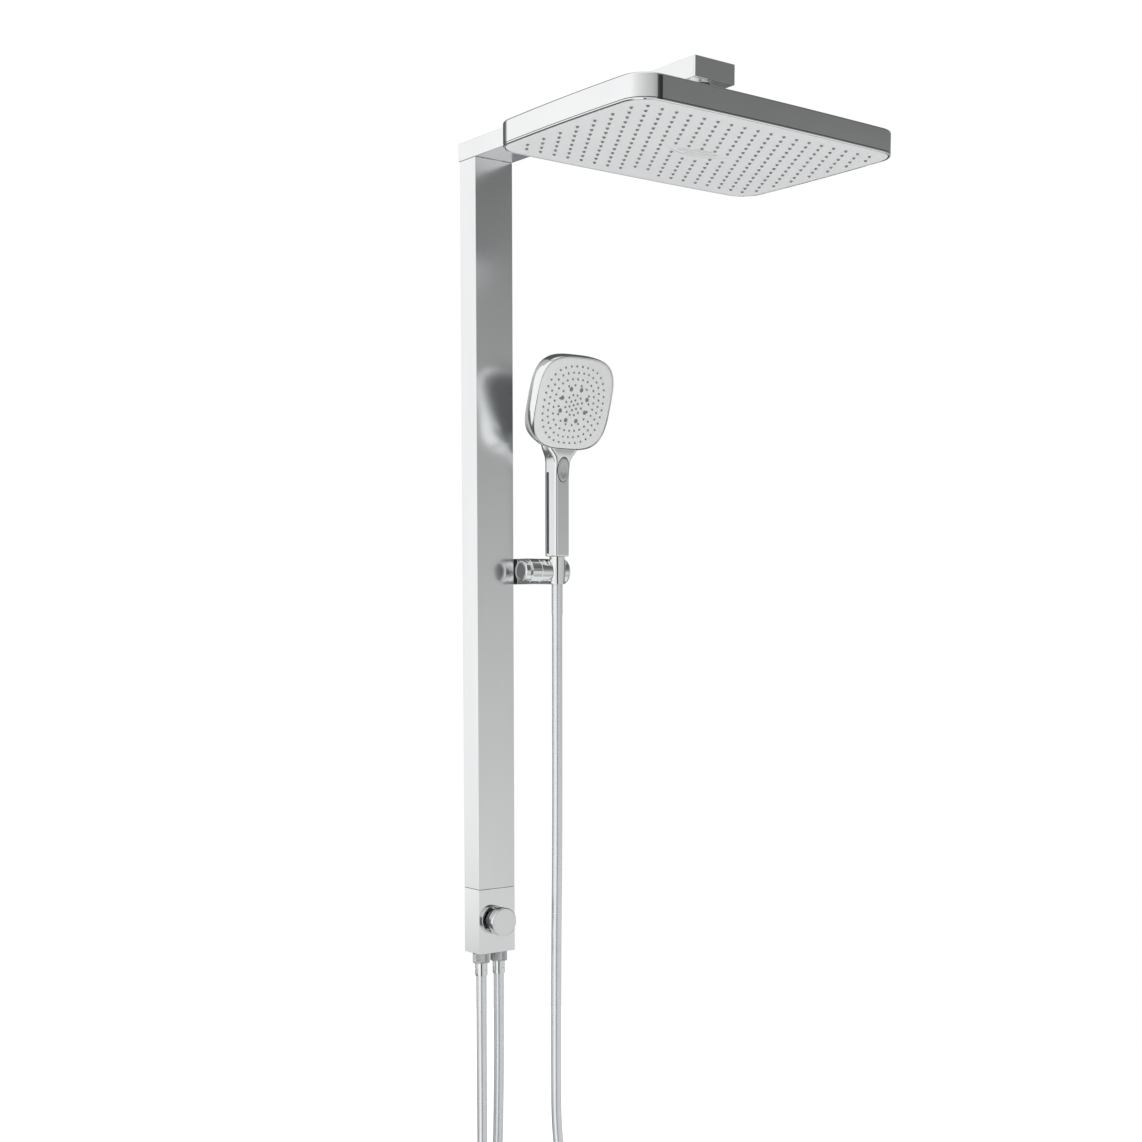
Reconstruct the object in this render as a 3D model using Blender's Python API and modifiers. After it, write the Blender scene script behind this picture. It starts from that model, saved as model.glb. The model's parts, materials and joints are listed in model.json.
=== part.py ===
"""Rainfall shower column for a wall: a square column with a diverter block at its foot, an arm with a large
rain head on a ball joint, and a hand shower in a sliding, tilting holder on a 1.6 m hose.

Metres, +Z up, +X to the right, the wall is the plane Y = 0 and the room is on its -Y side. The origin is the
centre of the upper wall plate's back face."""

import math

import bmesh
import bpy
from mathutils import Matrix, Vector

for old_object in list(bpy.data.objects):
    bpy.data.objects.remove(old_object, do_unlink=True)

GAP = 0.0003  # clearance between touching pieces

# Column and arm
COLUMN_WIDTH = 0.060
COLUMN_DEPTH = 0.036
COLUMN_WALL = 0.0022
COLUMN_BACK = -0.004
COLUMN_FRONT = COLUMN_BACK - COLUMN_DEPTH
COLUMN_MIDDLE = (COLUMN_BACK + COLUMN_FRONT) / 2
ARM_UNDERSIDE = 0.050
ARM_HEIGHT = 0.023
ARM_TOP = ARM_UNDERSIDE + ARM_HEIGHT
ARM_FRONT = -0.476
ARM_REAR = -0.0005
ARM_WALL = 0.002
ARM_CAP = 0.003
PIPE_X = -0.005  # the water pipes run left of the slider's slot
PIPE_RADIUS = 0.007
PIPE_BORE = 0.005
ARM_PIPE_Z = (ARM_UNDERSIDE + ARM_TOP) / 2

# Slot for the slider, in the column's right side
SLOT_WIDTH = 0.008
SLOT_ROOM = 0.016
SLOT_LIP = 0.002
SLOT_DEPTH = 0.009
SLOT_WALL = 0.002

# Wall plates
PLATE_WIDTH = 0.050
PLATE_HEIGHT = 0.070
PLATE_THICKNESS = 0.0036
PLATE_FLANGE = 0.0076
PLATE_HOLE = 0.0032
PLATE_HOLE_SPACING = 0.040
LOWER_PLATE_Z = -0.890

# Diverter block
DIVERTER_TOP = -0.930
DIVERTER_HEIGHT = 0.090
DIVERTER_BOTTOM = DIVERTER_TOP - DIVERTER_HEIGHT
KNOB_Z = -0.975
KNOB_RADIUS = 0.020
KNOB_DEPTH = 0.0107
KNOB_STANDOFF = 0.0073
CARTRIDGE_RADIUS = 0.0127
PORT_X = 0.0148

# Hose ends
HOSE_RADIUS = 0.007
NUT_RADIUS = 0.012
NUT_HEIGHT = 0.0145
NIPPLE_RADIUS = 0.0103
FERRULE_RADIUS = 0.0084
FERRULE_HEIGHT = 0.0180

# Rain head, its centre under the arm's end
HEAD_Y = -0.449
HEAD_WIDTH = 0.398
HEAD_DEPTH = 0.267
HEAD_CORNER = 0.031
HEAD_BOW = 0.002
HEAD_TOP = 0.004
HEAD_BOTTOM = -0.024
HEAD_WALL = 0.002
LIP_HEIGHT = 0.0022
LIP_INSET = 0.0015
LIP_WIDTH = 0.0020
SPRAY_PLATE = 0.0018
LENS_LENGTH = 0.092
LENS_WIDTH = 0.030
BALL_Z = 0.020
BALL_RADIUS = 0.010

# Holder for the hand shower
HOLDER_Z = -0.493
BARREL_RADIUS = 0.0173
BARREL_Y = -0.065
BLOCK_LEFT = 0.0333
BLOCK_RIGHT = 0.0486
BLOCK_BACK = -0.008
BARREL_RIGHT = 0.0943
END_CAP_RIGHT = 0.0973
BUTTON_RADIUS = 0.0143
BUTTON_LEFT = 0.0243
BUTTON_RECESS = 0.008
AXLE_RADIUS = 0.005
SHOE_HEIGHT = 0.050

# Hand shower, standing in the holder on this vertical axis
HAND_X = 0.077
HAND_Y = -0.077
HANDLE_BOTTOM = -0.4724
CONE_BOTTOM = -0.5106
CONE_TOP_RADIUS = 0.0106
CONE_BOTTOM_RADIUS = 0.0088
LINER = 0.0012
FACE_CENTRE = Vector((HAND_X, -0.115, -0.2707))
FACE_TILT = math.radians(17.7)
FACE_WIDTH = 0.126
FACE_HEIGHT = 0.125
FACE_POWER = 3.35
MODE_BUTTON_Z = -0.3560
SLEEVE_BOTTOM = -0.552
SLEEVE_RADIUS = 0.0079

# Hose routes: chosen points, from the diverter's connectors on. The hand shower's hose is 1.6 m long and
# hangs in a loop below the diverter; the supply hose is 0.5 m long and hangs straight.
INLET_END = -1.5375
HOSE_START = DIVERTER_BOTTOM - 0.0175
SHOWER_HOSE_ROUTE = (
    (PORT_X, COLUMN_MIDDLE, HOSE_START),
    (PORT_X, COLUMN_MIDDLE, -1.100),
    (0.0147, -0.0220, -1.170),
    (0.0140, -0.0214, -1.240),
    (0.0128, -0.0204, -1.300),
    (0.0090, -0.0172, -1.370),
    (0.0040, -0.0130, -1.430),
    (0.0012, -0.0108, -1.478),
    (0.0060, -0.0150, -1.514),
    (0.0240, -0.0308, -1.544),
    (0.0500, -0.0540, -1.554),
    (0.0760, -0.0772, -1.544),
    (0.0940, -0.0930, -1.514),
    (0.0990, -0.0972, -1.478),
    (0.0966, -0.0950, -1.430),
    (0.0888, -0.0879, -1.375),
    (0.0800, -0.0797, -1.320),
    (0.0762, -0.0762, -1.265),
    (0.0756, -0.0756, -1.200),
    (0.0756, -0.0757, -1.100),
    (0.0759, -0.0762, -1.000),
    (0.0765, HAND_Y, -0.900),
    (HAND_X, HAND_Y, -0.790),
    (HAND_X, HAND_Y, -0.700),
    (HAND_X, HAND_Y, -0.620),
    (HAND_X, HAND_Y, -0.540),
)

FINISHES = {
    "chrome": ((0.80, 0.81, 0.82), 0.06, 1.0),
    "steel": ((0.55, 0.56, 0.57), 0.30, 1.0),
    "brass": ((0.78, 0.60, 0.30), 0.25, 1.0),
    "white": ((0.86, 0.87, 0.88), 0.25, 0.0),
    "nylon": ((0.03, 0.03, 0.03), 0.45, 0.0),
    "rubber": ((0.25, 0.26, 0.27), 0.60, 0.0),
    "pvc": ((0.62, 0.65, 0.68), 0.22, 0.3),
}

column_collection = bpy.data.collections.new("rainfall_shower_column")
cutter_collection = bpy.data.collections.new("cutters")
bpy.context.scene.collection.children.link(column_collection)
bpy.context.scene.collection.children.link(cutter_collection)


# ---------------------------------------------------------------- modelling helpers


def finished(thing, kind, smooth=True):
    """Gives an object its own material and links it to the column's collection."""
    colour, roughness, metallic = FINISHES[kind]
    material = bpy.data.materials.new(thing.name + "_" + kind)
    material.use_nodes = True
    shader = material.node_tree.nodes["Principled BSDF"]
    shader.inputs["Base Color"].default_value = (*colour, 1.0)
    shader.inputs["Roughness"].default_value = roughness
    shader.inputs["Metallic"].default_value = metallic
    thing.data.materials.append(material)
    if smooth and thing.type == "MESH":
        thing.data.shade_smooth()
        thing.data.set_sharp_from_angle(angle=math.radians(35))
    column_collection.objects.link(thing)
    return thing


def from_bmesh(name, cage):
    mesh = bpy.data.meshes.new(name)
    bmesh.ops.recalc_face_normals(cage, faces=cage.faces)
    cage.to_mesh(mesh)
    cage.free()
    return bpy.data.objects.new(name, mesh)


def box(name, low, high):
    """A box between two corners, with its origin at its centre."""
    size = [high[axis] - low[axis] for axis in range(3)]
    cage = bmesh.new()
    bmesh.ops.create_cube(cage, size=1.0, matrix=Matrix.Diagonal((*size, 1.0)))
    thing = from_bmesh(name, cage)
    thing.location = [(high[axis] + low[axis]) / 2 for axis in range(3)]
    return thing


TURNS = {"Z": (0.0, 0.0, 0.0), "X": (0.0, math.pi / 2, 0.0), "Y": (-math.pi / 2, 0.0, 0.0)}


def turned(name, centre, profile, axis="Z", steps=32, ring=False):
    """A turned shape. The profile is (radius, height along the axis), down the outside from the top;
    a ring's profile closes on itself."""
    cage = bmesh.new()
    corners = [cage.verts.new((radius, 0.0, height)) for radius, height in profile]
    for first, second in zip(corners, corners[1:]):
        cage.edges.new((first, second))
    if ring:
        cage.edges.new((corners[-1], corners[0]))
    mesh = bpy.data.meshes.new(name)
    cage.to_mesh(mesh)
    cage.free()
    thing = bpy.data.objects.new(name, mesh)
    screw = thing.modifiers.new("turn", "SCREW")
    screw.steps = steps
    screw.render_steps = steps
    screw.use_merge_vertices = True
    screw.merge_threshold = 0.00001
    thing.location = centre
    thing.rotation_euler = TURNS[axis]
    return thing


def rod(name, centre, radius, low, high, axis="Z", steps=32):
    """A plain round bar; low and high are heights along its axis."""
    return turned(name, centre, [(0, high), (radius, high), (radius, low), (0, low)], axis, steps)


def sleeve(name, centre, radius, bore, low, high, axis="Z", steps=32):
    """A plain tube."""
    profile = [(radius, high), (radius, low), (bore, low), (bore, high)]
    return turned(name, centre, profile, axis, steps, ring=True)


def prism(name, outline, low, high, axis="Z"):
    """A flat outline pulled along an axis, from low to high: (y, z) along X and (x, y) along Z."""
    orders = {
        "Z": lambda a, b, c: (a, b, c),
        "X": lambda a, b, c: (c, a, b),
        "Y": lambda a, b, c: (a, c, b),
    }
    place = orders[axis]
    cage = bmesh.new()
    face = cage.faces.new([cage.verts.new(place(a, b, low)) for a, b in outline])
    pulled = bmesh.ops.extrude_face_region(cage, geom=[face])
    moved = [item for item in pulled["geom"] if isinstance(item, bmesh.types.BMVert)]
    bmesh.ops.translate(cage, verts=moved, vec=place(0.0, 0.0, high - low))
    return from_bmesh(name, cage)


def loft(name, loops, ring=False, caps=True):
    """Loops of equally many points joined one to the next; a ring joins the last to the first."""
    cage = bmesh.new()
    rows = [[cage.verts.new(point) for point in loop] for loop in loops]
    pairs = list(zip(rows, rows[1:]))
    if ring:
        pairs.append((rows[-1], rows[0]))
    for lower, upper in pairs:
        for index in range(len(lower)):
            after = (index + 1) % len(lower)
            cage.faces.new((lower[index], lower[after], upper[after], upper[index]))
    if caps and not ring:
        cage.faces.new(rows[0])
        cage.faces.new(rows[-1])
    return from_bmesh(name, cage)


def combined(thing, other, operation):
    """Cuts or joins the other shape with a Boolean and leaves it among the cutters."""
    other.name = thing.name + "_" + other.name
    other.hide_render = True
    other.display_type = "WIRE"
    cutter_collection.objects.link(other)
    boolean = thing.modifiers.new(operation.lower(), "BOOLEAN")
    boolean.operation = operation
    boolean.solver = "EXACT"
    boolean.object = other
    return thing


def cut(thing, other):
    return combined(thing, other, "DIFFERENCE")


def joined(thing, other):
    return combined(thing, other, "UNION")


def rounded_outline(width, depth, radius, bow=0.0, corner_steps=6, side_steps=3):
    """A rectangle with round corners whose sides bulge outward by bow at their middles."""
    points = []
    for quarter in range(4):
        sign_x = 1 if quarter in (0, 3) else -1
        sign_y = 1 if quarter in (0, 1) else -1
        middle = Vector((sign_x * (width / 2 - bow - radius), sign_y * (depth / 2 - bow - radius)))
        for step in range(corner_steps + 1):
            angle = math.pi / 2 * (quarter + step / corner_steps)
            points.append(middle + radius * Vector((math.cos(angle), math.sin(angle))))
        outward = Vector((math.cos(math.pi / 2 * (quarter + 1)), math.sin(math.pi / 2 * (quarter + 1))))
        start = points[-1]
        span = (width if quarter in (0, 2) else depth) - 2 * (bow + radius)
        along = Vector((-outward.y, outward.x))
        for step in range(1, side_steps + 1 if bow else 0):
            share = step / (side_steps + 1)
            points.append(start + along * span * share + outward * bow * 4 * share * (1 - share))
    return points


def squircle(width, height, count=36):
    """The hand shower's face outline."""
    points = []
    for index in range(count):
        angle = 2 * math.pi * (index + 0.5) / count
        across = math.copysign(abs(math.cos(angle)) ** (2 / FACE_POWER), math.cos(angle))
        upward = math.copysign(abs(math.sin(angle)) ** (2 / FACE_POWER), math.sin(angle))
        points.append(Vector((across * width / 2, upward * height / 2)))
    return points


def smooth_route(points, spacing):
    """Points evenly spaced along the smooth curve through a route's own points."""
    ends = [2 * Vector(points[0]) - Vector(points[1])]
    knots = ends + [Vector(point) for point in points] + [2 * Vector(points[-1]) - Vector(points[-2])]
    dense = []
    for before, start, end, after in zip(knots, knots[1:], knots[2:], knots[3:]):
        for step in range(24):
            t = step / 24
            dense.append(
                0.5 * (2 * start + (end - before) * t + (2 * before - 5 * start + 4 * end - after) * t**2
                       + (3 * start - before - 3 * end + after) * t**3)
            )
    dense.append(knots[-2])
    lengths = [0.0]
    for first, second in zip(dense, dense[1:]):
        lengths.append(lengths[-1] + (second - first).length)
    count = max(2, round(lengths[-1] / spacing))
    even = []
    index = 0
    for step in range(count + 1):
        wanted = lengths[-1] * step / count
        while index < len(dense) - 2 and lengths[index + 1] < wanted:
            index += 1
        share = (wanted - lengths[index]) / (lengths[index + 1] - lengths[index])
        even.append(dense[index].lerp(dense[index + 1], min(1.0, share)))
    return even


def wire(name, points, radius, kind, resolution=2):
    """A round tube or wire along a path, with closed ends."""
    curve = bpy.data.curves.new(name, "CURVE")
    curve.dimensions = "3D"
    curve.bevel_depth = radius
    curve.bevel_resolution = resolution
    curve.use_fill_caps = True
    spline = curve.splines.new("POLY")
    spline.points.add(len(points) - 1)
    for knot, point in zip(spline.points, points):
        knot.co = (*point, 1.0)
    return finished(bpy.data.objects.new(name, curve), kind)


pivots = {}


def pivot(name, place, parent=None):
    """An empty on a joint's axis, which carries the pieces of one moving body."""
    empty = bpy.data.objects.new(name, None)
    empty.location = place
    empty.empty_display_size = 0.03
    if parent:
        empty.parent = parent
        empty.matrix_parent_inverse = Matrix.Translation(-pivots[parent.name])
    pivots[name] = Vector(place)
    column_collection.objects.link(empty)
    return empty


def carried(thing, by):
    """Parents a piece to its joint's empty without moving it."""
    thing.parent = by
    thing.matrix_parent_inverse = Matrix.Translation(-pivots[by.name])
    return thing


# ---------------------------------------------------------------- column, arm and wall plates


def column_outline():
    """The column's section: open towards the wall, with the slider's slot in its right side."""
    right = COLUMN_WIDTH / 2
    inner_right = right - SLOT_LIP
    inner_left = -right + COLUMN_WALL
    inner_front = COLUMN_FRONT + COLUMN_WALL
    slot_back, slot_front = COLUMN_MIDDLE + SLOT_WIDTH / 2, COLUMN_MIDDLE - SLOT_WIDTH / 2
    room_back, room_front = COLUMN_MIDDLE + SLOT_ROOM / 2, COLUMN_MIDDLE - SLOT_ROOM / 2
    room_left = right - SLOT_DEPTH
    return [
        (-right, COLUMN_BACK),
        (-right, COLUMN_FRONT),
        (right, COLUMN_FRONT),
        (right, slot_front),
        (inner_right, slot_front),
        (inner_right, room_front),
        (room_left, room_front),
        (room_left, room_back),
        (inner_right, room_back),
        (inner_right, slot_back),
        (right, slot_back),
        (right, COLUMN_BACK),
        (inner_right, COLUMN_BACK),
        (inner_right, room_back + SLOT_WALL),
        (room_left - SLOT_WALL, room_back + SLOT_WALL),
        (room_left - SLOT_WALL, room_front - SLOT_WALL),
        (inner_right, room_front - SLOT_WALL),
        (inner_right, inner_front),
        (inner_left, inner_front),
        (inner_left, COLUMN_BACK),
    ]


def make_column():
    profile = prism("column_profile", column_outline(), DIVERTER_TOP + GAP, ARM_UNDERSIDE - GAP)
    finished(profile, "chrome", smooth=False)


def make_wall_plate(name, middle_z):
    """A U-shaped bracket with two screw holes, which the column's back slides over."""
    half = PLATE_WIDTH / 2
    flange = 0.0022
    front = -PLATE_THICKNESS
    tip = front - PLATE_FLANGE
    outline = [
        (-half, 0.0), (-half, tip), (-half + flange, tip), (-half + flange, front),
        (half - flange, front), (half - flange, tip), (half, tip), (half, 0.0),
    ]
    plate = prism(name, outline, middle_z - PLATE_HEIGHT / 2, middle_z + PLATE_HEIGHT / 2)
    for side in (-1, 1):
        centre = (0.012 * side, 0.0, middle_z + side * PLATE_HOLE_SPACING / 2)
        cut(plate, rod("hole%d" % (side + 2), centre, PLATE_HOLE, -0.010, 0.005, axis="Y", steps=16))
    finished(plate, "steel", smooth=False)


def make_arm():
    half = COLUMN_WIDTH / 2
    body_front = ARM_FRONT + ARM_CAP + GAP
    arm = box("arm_profile", (-half, body_front, ARM_UNDERSIDE), (half, ARM_REAR, ARM_TOP))
    inside_low = (-half + ARM_WALL, body_front - 0.01, ARM_UNDERSIDE + ARM_WALL)
    inside_high = (half - ARM_WALL, ARM_REAR + 0.01, ARM_TOP - ARM_WALL)
    cut(arm, box("inside", inside_low, inside_high))
    below = ARM_UNDERSIDE - 0.005
    cut(arm, box("pipe_slot", (PIPE_X - 0.012, -0.034, below), (PIPE_X + 0.012, -0.010, below + 0.009)))
    cut(arm, rod("outlet_hole", (0, HEAD_Y, below), 0.012, 0.0, 0.009, steps=24))
    finished(arm, "chrome", smooth=False)

    cap = box("arm_end_cap", (-half, ARM_FRONT, ARM_UNDERSIDE), (half, ARM_FRONT + ARM_CAP, ARM_TOP))
    inset = ARM_WALL + GAP
    tongue_low = (-half + inset, ARM_FRONT + ARM_CAP - 0.001, ARM_UNDERSIDE + inset)
    tongue_high = (half - inset, ARM_FRONT + 0.009, ARM_TOP - inset)
    joined(cap, box("tongue", tongue_low, tongue_high))
    finished(cap, "chrome", smooth=False)


def make_arm_pipes():
    inset = ARM_WALL + GAP
    low, high = ARM_UNDERSIDE + inset, ARM_TOP - inset
    socket = PIPE_RADIUS + GAP
    elbow = box("arm_elbow", (PIPE_X - 0.014, -0.038, low), (PIPE_X + 0.014, -0.008, high))
    joined(elbow, rod("stub", (PIPE_X, COLUMN_MIDDLE, 0), 0.0105, 0.036, low + 0.004, steps=24))
    cut(elbow, rod("riser_socket", (PIPE_X, COLUMN_MIDDLE, 0), socket, 0.030, 0.047, steps=24))
    cut(elbow, rod("riser_bore", (PIPE_X, COLUMN_MIDDLE, 0), PIPE_BORE, 0.040, ARM_PIPE_Z + 0.003, steps=16))
    cut(elbow, rod("arm_socket", (PIPE_X, 0, ARM_PIPE_Z), socket, -0.045, -0.031, axis="Y", steps=24))
    cut(elbow, rod("arm_bore", (PIPE_X, 0, ARM_PIPE_Z), PIPE_BORE, -0.040, COLUMN_MIDDLE, axis="Y", steps=16))
    finished(elbow, "brass", smooth=False)

    riser_centre = (PIPE_X, COLUMN_MIDDLE, 0)
    riser_foot = DIVERTER_TOP - 0.0097
    riser = sleeve("riser_tube", riser_centre, PIPE_RADIUS, PIPE_BORE, riser_foot, 0.0467, steps=20)
    finished(riser, "steel")
    arm_pipe_front = HEAD_Y + 0.0093
    pipe = sleeve("arm_water_tube", (PIPE_X, 0, ARM_PIPE_Z), PIPE_RADIUS, PIPE_BORE, arm_pipe_front, -0.0313,
                  axis="Y", steps=20)
    finished(pipe, "steel")

    outlet = box("arm_outlet", (PIPE_X - 0.014, HEAD_Y - 0.016, low), (PIPE_X + 0.019, HEAD_Y + 0.016, high))
    joined(outlet, rod("thread", (0, HEAD_Y, 0), NIPPLE_RADIUS, 0.038, low + 0.004, steps=24))
    cut(outlet, rod("pipe_socket", (PIPE_X, 0, ARM_PIPE_Z), socket, HEAD_Y + 0.009, HEAD_Y + 0.020, axis="Y",
                    steps=24))
    cut(outlet, rod("across", (PIPE_X, 0, ARM_PIPE_Z), PIPE_BORE, HEAD_Y - 0.002, HEAD_Y + 0.012, axis="Y",
                    steps=16))
    cut(outlet, rod("down", (0, HEAD_Y, 0), 0.0048, 0.030, ARM_PIPE_Z + 0.002, steps=16))
    finished(outlet, "brass", smooth=False)


# ---------------------------------------------------------------- diverter and hose connectors


def make_diverter():
    half = COLUMN_WIDTH / 2
    front_low = (-half, COLUMN_FRONT, DIVERTER_BOTTOM)
    housing = box("diverter_housing", front_low, (half, COLUMN_BACK, DIVERTER_TOP))
    cut(housing, rod("cartridge_seat", (0, 0, KNOB_Z), CARTRIDGE_RADIUS + GAP, COLUMN_FRONT - 0.005,
                     COLUMN_FRONT + 0.024, axis="Y"))
    for side, port in ((-1, "inlet_port"), (1, "outlet_port")):
        cut(housing, rod(port, (side * PORT_X, COLUMN_MIDDLE, 0), 0.0070, DIVERTER_BOTTOM - 0.005,
                         DIVERTER_BOTTOM + 0.018, steps=20))
    cut(housing, rod("riser_port", (PIPE_X, COLUMN_MIDDLE, 0), PIPE_RADIUS + GAP, DIVERTER_TOP - 0.010,
                     DIVERTER_TOP + 0.005, steps=20))
    finished(housing, "chrome", smooth=False)

    front = COLUMN_FRONT
    cartridge = [
        (CARTRIDGE_RADIUS, front + 0.0235), (CARTRIDGE_RADIUS, front + 0.0010), (0.0050, front + 0.0010),
        (0.0050, front + 0.0160), (0.0, front + 0.0160),
    ]
    cartridge = [(0.0, front + 0.0235)] + cartridge
    finished(turned("diverter_cartridge", (0, 0, KNOB_Z), cartridge, "Y", 20), "brass")
    nut = sleeve("cartridge_nut", (0, 0, KNOB_Z), 0.0155, 0.0060, front - 0.0070, front - GAP, "Y", 20)
    finished(nut, "brass")


def make_knob():
    """The knob turns about the block's front-to-back axis."""
    knob_pivot = pivot("diverter_knob_pivot", (0, COLUMN_FRONT, KNOB_Z))
    back = COLUMN_FRONT - KNOB_STANDOFF
    front = back - KNOB_DEPTH
    centre = (0, 0, KNOB_Z)
    profile = [
        (0.0, front + 0.0030), (0.0042, front + 0.0030), (0.0042, back - 0.0010), (0.0075, back - 0.0010),
        (0.0075, front + 0.0030), (KNOB_RADIUS - 0.0024, front + 0.0030), (KNOB_RADIUS - 0.0024, back),
        (KNOB_RADIUS, back), (KNOB_RADIUS, front + 0.0014), (KNOB_RADIUS - 0.0014, front), (0.0, front),
    ]
    carried(finished(turned("diverter_knob", centre, profile, "Y", 28), "chrome"), knob_pivot)
    spindle = rod("diverter_spindle", centre, 0.0039, front + 0.0033, COLUMN_FRONT + 0.0150, "Y", 16)
    carried(finished(spindle, "brass"), knob_pivot)


def make_connector(side, label):
    """One threaded nipple under the diverter with its washer, knurled nut and crimped ferrule."""
    centre = (side * PORT_X, COLUMN_MIDDLE, DIVERTER_BOTTOM)
    nipple = [
        (0.0067, 0.0150), (0.0067, -GAP), (NIPPLE_RADIUS, -GAP), (NIPPLE_RADIUS, -0.0090), (0.0045, -0.0090),
        (0.0045, 0.0150),
    ]
    finished(turned(label + "_nipple", centre, nipple, steps=14, ring=True), "brass")
    washer = sleeve(label + "_washer", centre, 0.0098, 0.0050, -0.0108, -0.0093, steps=14)
    finished(washer, "rubber")
    nut_top = -0.0008
    nut_low = nut_top - NUT_HEIGHT
    nut = [
        (NUT_RADIUS, nut_top), (NUT_RADIUS, nut_low), (0.0078, nut_low), (0.0078, nut_low + 0.0018),
        (NIPPLE_RADIUS + GAP, nut_low + 0.0018), (NIPPLE_RADIUS + GAP, nut_top),
    ]
    finished(turned(label + "_hose_nut", centre, nut, steps=20, ring=True), "chrome")
    make_ferrule(label + "_ferrule", centre, nut_low, HOSE_START - DIVERTER_BOTTOM + GAP, 1)


def make_ferrule(name, centre, nut_end, stop, way):
    """The collar inside a nut and the crimped sleeve outside it, where a hose ends at stop; way is 1 for one
    that leaves downwards."""
    flange = nut_end + way * 0.0021
    outside = nut_end - way * GAP
    bottom = outside - way * FERRULE_HEIGHT
    profile = [
        (0.0098, flange + way * 0.0012), (0.0098, flange), (0.0074, flange), (0.0074, outside),
        (FERRULE_RADIUS, outside), (FERRULE_RADIUS, bottom), (HOSE_RADIUS + GAP, bottom),
        (HOSE_RADIUS + GAP, stop), (0.0050, stop), (0.0050, flange + way * 0.0012),
    ]
    if way < 0:
        profile.reverse()
    finished(turned(name, centre, profile, steps=16, ring=True), "chrome")


def make_hoses():
    start = Vector((-PORT_X, COLUMN_MIDDLE, HOSE_START))
    end = Vector((-PORT_X, COLUMN_MIDDLE, INLET_END))
    wire("inlet_hose", [start.lerp(end, step / 8) for step in range(9)], HOSE_RADIUS, "pvc")
    wire("shower_hose", smooth_route(SHOWER_HOSE_ROUTE, 0.040), HOSE_RADIUS, "pvc")

    centre = (-PORT_X, COLUMN_MIDDLE, INLET_END)
    nut_end = -0.0013
    make_ferrule("inlet_end_ferrule", centre, nut_end, -GAP, -1)
    nut_far = nut_end - NUT_HEIGHT
    nut = [
        (NUT_RADIUS, nut_end), (NUT_RADIUS, nut_far), (NIPPLE_RADIUS + GAP, nut_far),
        (NIPPLE_RADIUS + GAP, nut_end - 0.0018), (0.0078, nut_end - 0.0018), (0.0078, nut_end),
    ]
    finished(turned("inlet_end_nut", centre, nut, steps=20, ring=True), "chrome")


# ---------------------------------------------------------------- rain head and its ball joint


def head_loop(inset, height, corner=HEAD_CORNER):
    outline = rounded_outline(HEAD_WIDTH - 2 * inset, HEAD_DEPTH - 2 * inset, corner - inset, HEAD_BOW)
    return [(point.x, point.y + HEAD_Y, height) for point in outline]


def lens_prism(name, length, width, low, high):
    """A pointed oval made of two arcs, for the cascade outlet in the middle of the spray plate."""
    radius = (length**2 / 4 + width**2 / 4) / width
    reach = math.asin(length / 2 / radius)
    outline = []
    for side in (1, -1):
        for step in range(10):
            angle = reach * (1 - 2 * step / 10) * side
            height = radius * math.cos(angle) - radius + width / 2
            outline.append((radius * math.sin(angle), HEAD_Y + side * height))
    return prism(name, outline, low, high)


def ball_arc(radius, from_degrees, to_degrees, steps=8):
    """Points on a ball's outline between two latitudes, as (radius, height)."""
    arc = []
    for step in range(steps + 1):
        angle = math.radians(from_degrees + (to_degrees - from_degrees) * step / steps)
        arc.append((radius * math.cos(angle), radius * math.sin(angle)))
    return arc


def make_head_joint():
    """A union nut under the arm holds the ball's stem; the head's socket and collar turn about the ball."""
    nut = [
        (0.0142, 0.0492), (0.0142, 0.0330), (0.0132, 0.0320), (0.0068, 0.0320), (0.0068, 0.0342),
        (NIPPLE_RADIUS + GAP, 0.0342), (NIPPLE_RADIUS + GAP, 0.0492),
    ]
    finished(turned("head_union_nut", (0, HEAD_Y, 0), nut, steps=24, ring=True), "chrome")

    ball_centre = (0, HEAD_Y, BALL_Z)
    swivel = pivot("head_swivel_pivot", ball_centre)
    tilt_side = pivot("head_side_tilt_pivot", ball_centre, swivel)
    tilt_front = pivot("head_front_tilt_pivot", ball_centre, tilt_side)

    stem_radius = 0.0060
    bore = 0.0030
    meets = math.degrees(math.acos(stem_radius / BALL_RADIUS))
    low = -math.degrees(math.acos(bore / BALL_RADIUS))
    stem = [
        (0.0098, 0.0177), (0.0098, 0.0145), (stem_radius, 0.0145), *ball_arc(BALL_RADIUS, meets, low, 8),
        (bore, 0.0177),
    ]
    carried(finished(turned("ball_stem", ball_centre, stem, steps=16, ring=True), "chrome"), swivel)

    ring = ball_arc(0.0118, 41, 4, 3) + ball_arc(0.0103, 4, 41, 3)
    carried(finished(turned("ball_slide_ring", ball_centre, ring, steps=16, ring=True), "nylon"), tilt_side)

    base = HEAD_TOP + GAP - BALL_Z
    socket = [
        (0.0145, -0.0024), (0.0145, base), (0.0080, base), (0.0080, base - 0.0080), (0.0040, base - 0.0080),
        *ball_arc(0.0104, -67, -13.5, 4),
    ]
    carried(finished(turned("head_socket", ball_centre, socket, steps=16, ring=True), "brass"), tilt_front)
    collar = [
        (0.0130, 0.0078), (0.0172, 0.0036), (0.0172, base + 0.0005), (0.0148, base + 0.0005),
        (0.0148, -0.0018), *ball_arc(0.0123, -8.4, 40, 4),
    ]
    carried(finished(turned("head_collar", ball_centre, collar, steps=24, ring=True), "chrome"), tilt_front)
    return tilt_front


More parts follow.
